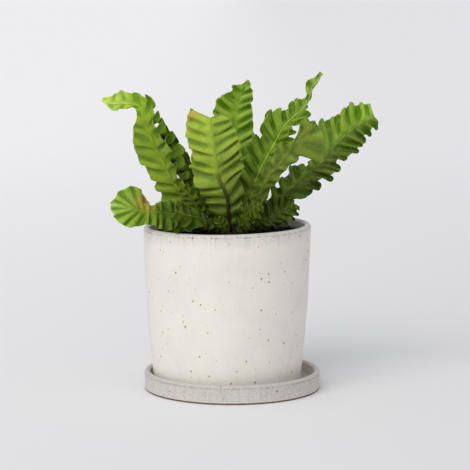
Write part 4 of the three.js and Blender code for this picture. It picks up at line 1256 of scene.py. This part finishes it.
def frond_marks(frond, place, rho, v):
    """Browning, yellowing and stalk brown at each point of a frond, each from 0 to 1."""
    bare, blade = frond["bare"], 1 - frond["bare"]
    share = np.where(rho < 0, bare * (1 + rho), bare + blade * rho / (2 * frond["pleats"]))
    marks = np.zeros((*rho.shape, 3))
    for kind, side, at, radius, strength in frond["marks"]:
        centre = np.unravel_index(np.argmin((v - side) ** 2 + ((share - at) * 4) ** 2), v.shape)
        away = np.linalg.norm(place - place[centre], axis=-1)
        spot = strength * np.clip(1.6 - 1.6 * away / (radius / 1000), 0.0, 1.0)
        axis = 0 if kind == "brown" else 1
        marks[..., axis] = np.maximum(marks[..., axis], spot)
    marks[..., 2] = np.clip(1 - share / frond["dark"], 0.0, 1.0) ** BROWN_FADE
    return marks


class FERN_OT_fronds(bpy.types.Operator):
    """Grows the fronds, each a closed skin with rounded pleats, a raised rib, side veins and a bare stalk"""

    bl_idname = "fern.fronds"
    bl_label = "Fronds"

    def execute(self, context):
        look = settings("fronds")
        greens = {
            "frond": ("Frond", look.upper, look.underside),
            "young_frond": ("Young frond", look.young_upper, look.young_underside),
        }
        leaves = {}
        for slot, (title, above, below) in greens.items():
            leaves[slot] = [make_leaf(title + " upper side", above, True)]
            leaves[slot].append(make_leaf(title + " underside", below, False))
        for frond in FRONDS:
            name, slot = frond["name"], frond["slot"]
            shape = frond_shape(frond, look.thickness)
            place_piece(shape, "leaf_" + name, leaves[slot], "frond_" + name, FROND_SLACK)
        return {"FINISHED"}


class FERN_OT_stage(bpy.types.Operator):
    """Sets the stage: pale floor, soft light from the upper left, pale surroundings and the camera"""

    bl_idname = "fern.stage"
    bl_label = "Stage"

    def execute(self, context):
        look = settings("stage")
        scene = context.scene
        shape = bmesh.new()
        bmesh.ops.create_circle(shape, cap_ends=True, segments=96, radius=FLOOR_RADIUS)
        floor = new_object("studio_floor", mesh_of(shape, "studio_floor"))
        material, nodes, shader = new_material("Studio floor")
        # Painted light and shade: the floor is painted a little paler further away and darker to the right, as
        # the soft light from the left would fall across it
        place = nodes.place()
        paler = nodes.remap(nodes.length(place), 0.2, 2.6, 1.0, 1.1)
        shade = nodes.times(paler, nodes.remap(nodes.split(place)[0], -0.45, 0.45, 1.06, 0.95))
        nodes.feed(shader["Base Color"], nodes.scaled(look.floor, shade))
        shader["Roughness"].default_value = 0.9
        shader["Specular IOR Level"].default_value = 0.1
        floor.data.materials.append(material)
        world = bpy.data.worlds.new("Pale studio")
        scene.world = world
        world.use_nodes = True
        background = world.node_tree.nodes["Background"]
        background.inputs["Color"].default_value = (*look.sky, 1.0)
        background.inputs["Strength"].default_value = look.fill
        lamp = bpy.data.lights.new("Soft key light", "SUN")
        lamp.energy = look.key
        lamp.angle = math.radians(LIGHT_SPREAD)
        lamp.color = LIGHT_COLOUR
        key = new_object("Soft key light", lamp)
        key.rotation_euler = Vector(LIGHT_FROM).to_track_quat("Z", "Y").to_euler()
        eye = bpy.data.cameras.new("Camera")
        eye.sensor_width = 36.0
        eye.lens = CAMERA_LENS
        eye.clip_end = 200.0
        camera = new_object("Camera", eye)
        camera.location = CAMERA_PLACE
        camera.rotation_euler = (math.pi / 2 - CAMERA_DOWNWARD, 0.0, 0.0)
        scene.camera = camera
        scene.view_settings.view_transform = "Standard"
        return {"FINISHED"}


class FERN_PT_panel(bpy.types.Panel):
    bl_label = "Potted Fern"
    bl_idname = "FERN_PT_panel"
    bl_space_type = "VIEW_3D"
    bl_region_type = "UI"
    bl_category = "Potted Fern"

    def draw(self, context):
        column = self.layout.column()
        for step in STEPS:
            column.operator(step.bl_idname)
        for kind, group in SETTINGS.items():
            box = self.layout.box()
            box.label(text=kind.capitalize())
            for name in group.__annotations__:
                box.prop(settings(kind), name)


SETTINGS = {
    "stoneware": StonewareSettings,
    "soil": SoilSettings,
    "crown": CrownSettings,
    "fronds": FrondSettings,
    "stage": StageSettings,
}
STEPS = (FERN_OT_stage, FERN_OT_saucer, FERN_OT_pot, FERN_OT_soil, FERN_OT_crown, FERN_OT_fronds)
CLASSES = (*SETTINGS.values(), *STEPS, FERN_PT_panel)


def register():
    for each in CLASSES:
        bpy.utils.register_class(each)
    for kind, group in SETTINGS.items():
        setattr(bpy.types.Scene, "fern_" + kind, PointerProperty(type=group))


def unregister():
    for kind in SETTINGS:
        delattr(bpy.types.Scene, "fern_" + kind)
    for each in reversed(CLASSES):
        bpy.utils.unregister_class(each)


def main():
    register()
    bpy.ops.fern.stage()
    bpy.ops.fern.saucer()
    bpy.ops.fern.pot()
    bpy.ops.fern.soil()
    bpy.ops.fern.crown()
    bpy.ops.fern.fronds()


if __name__ == "__main__":
    main()
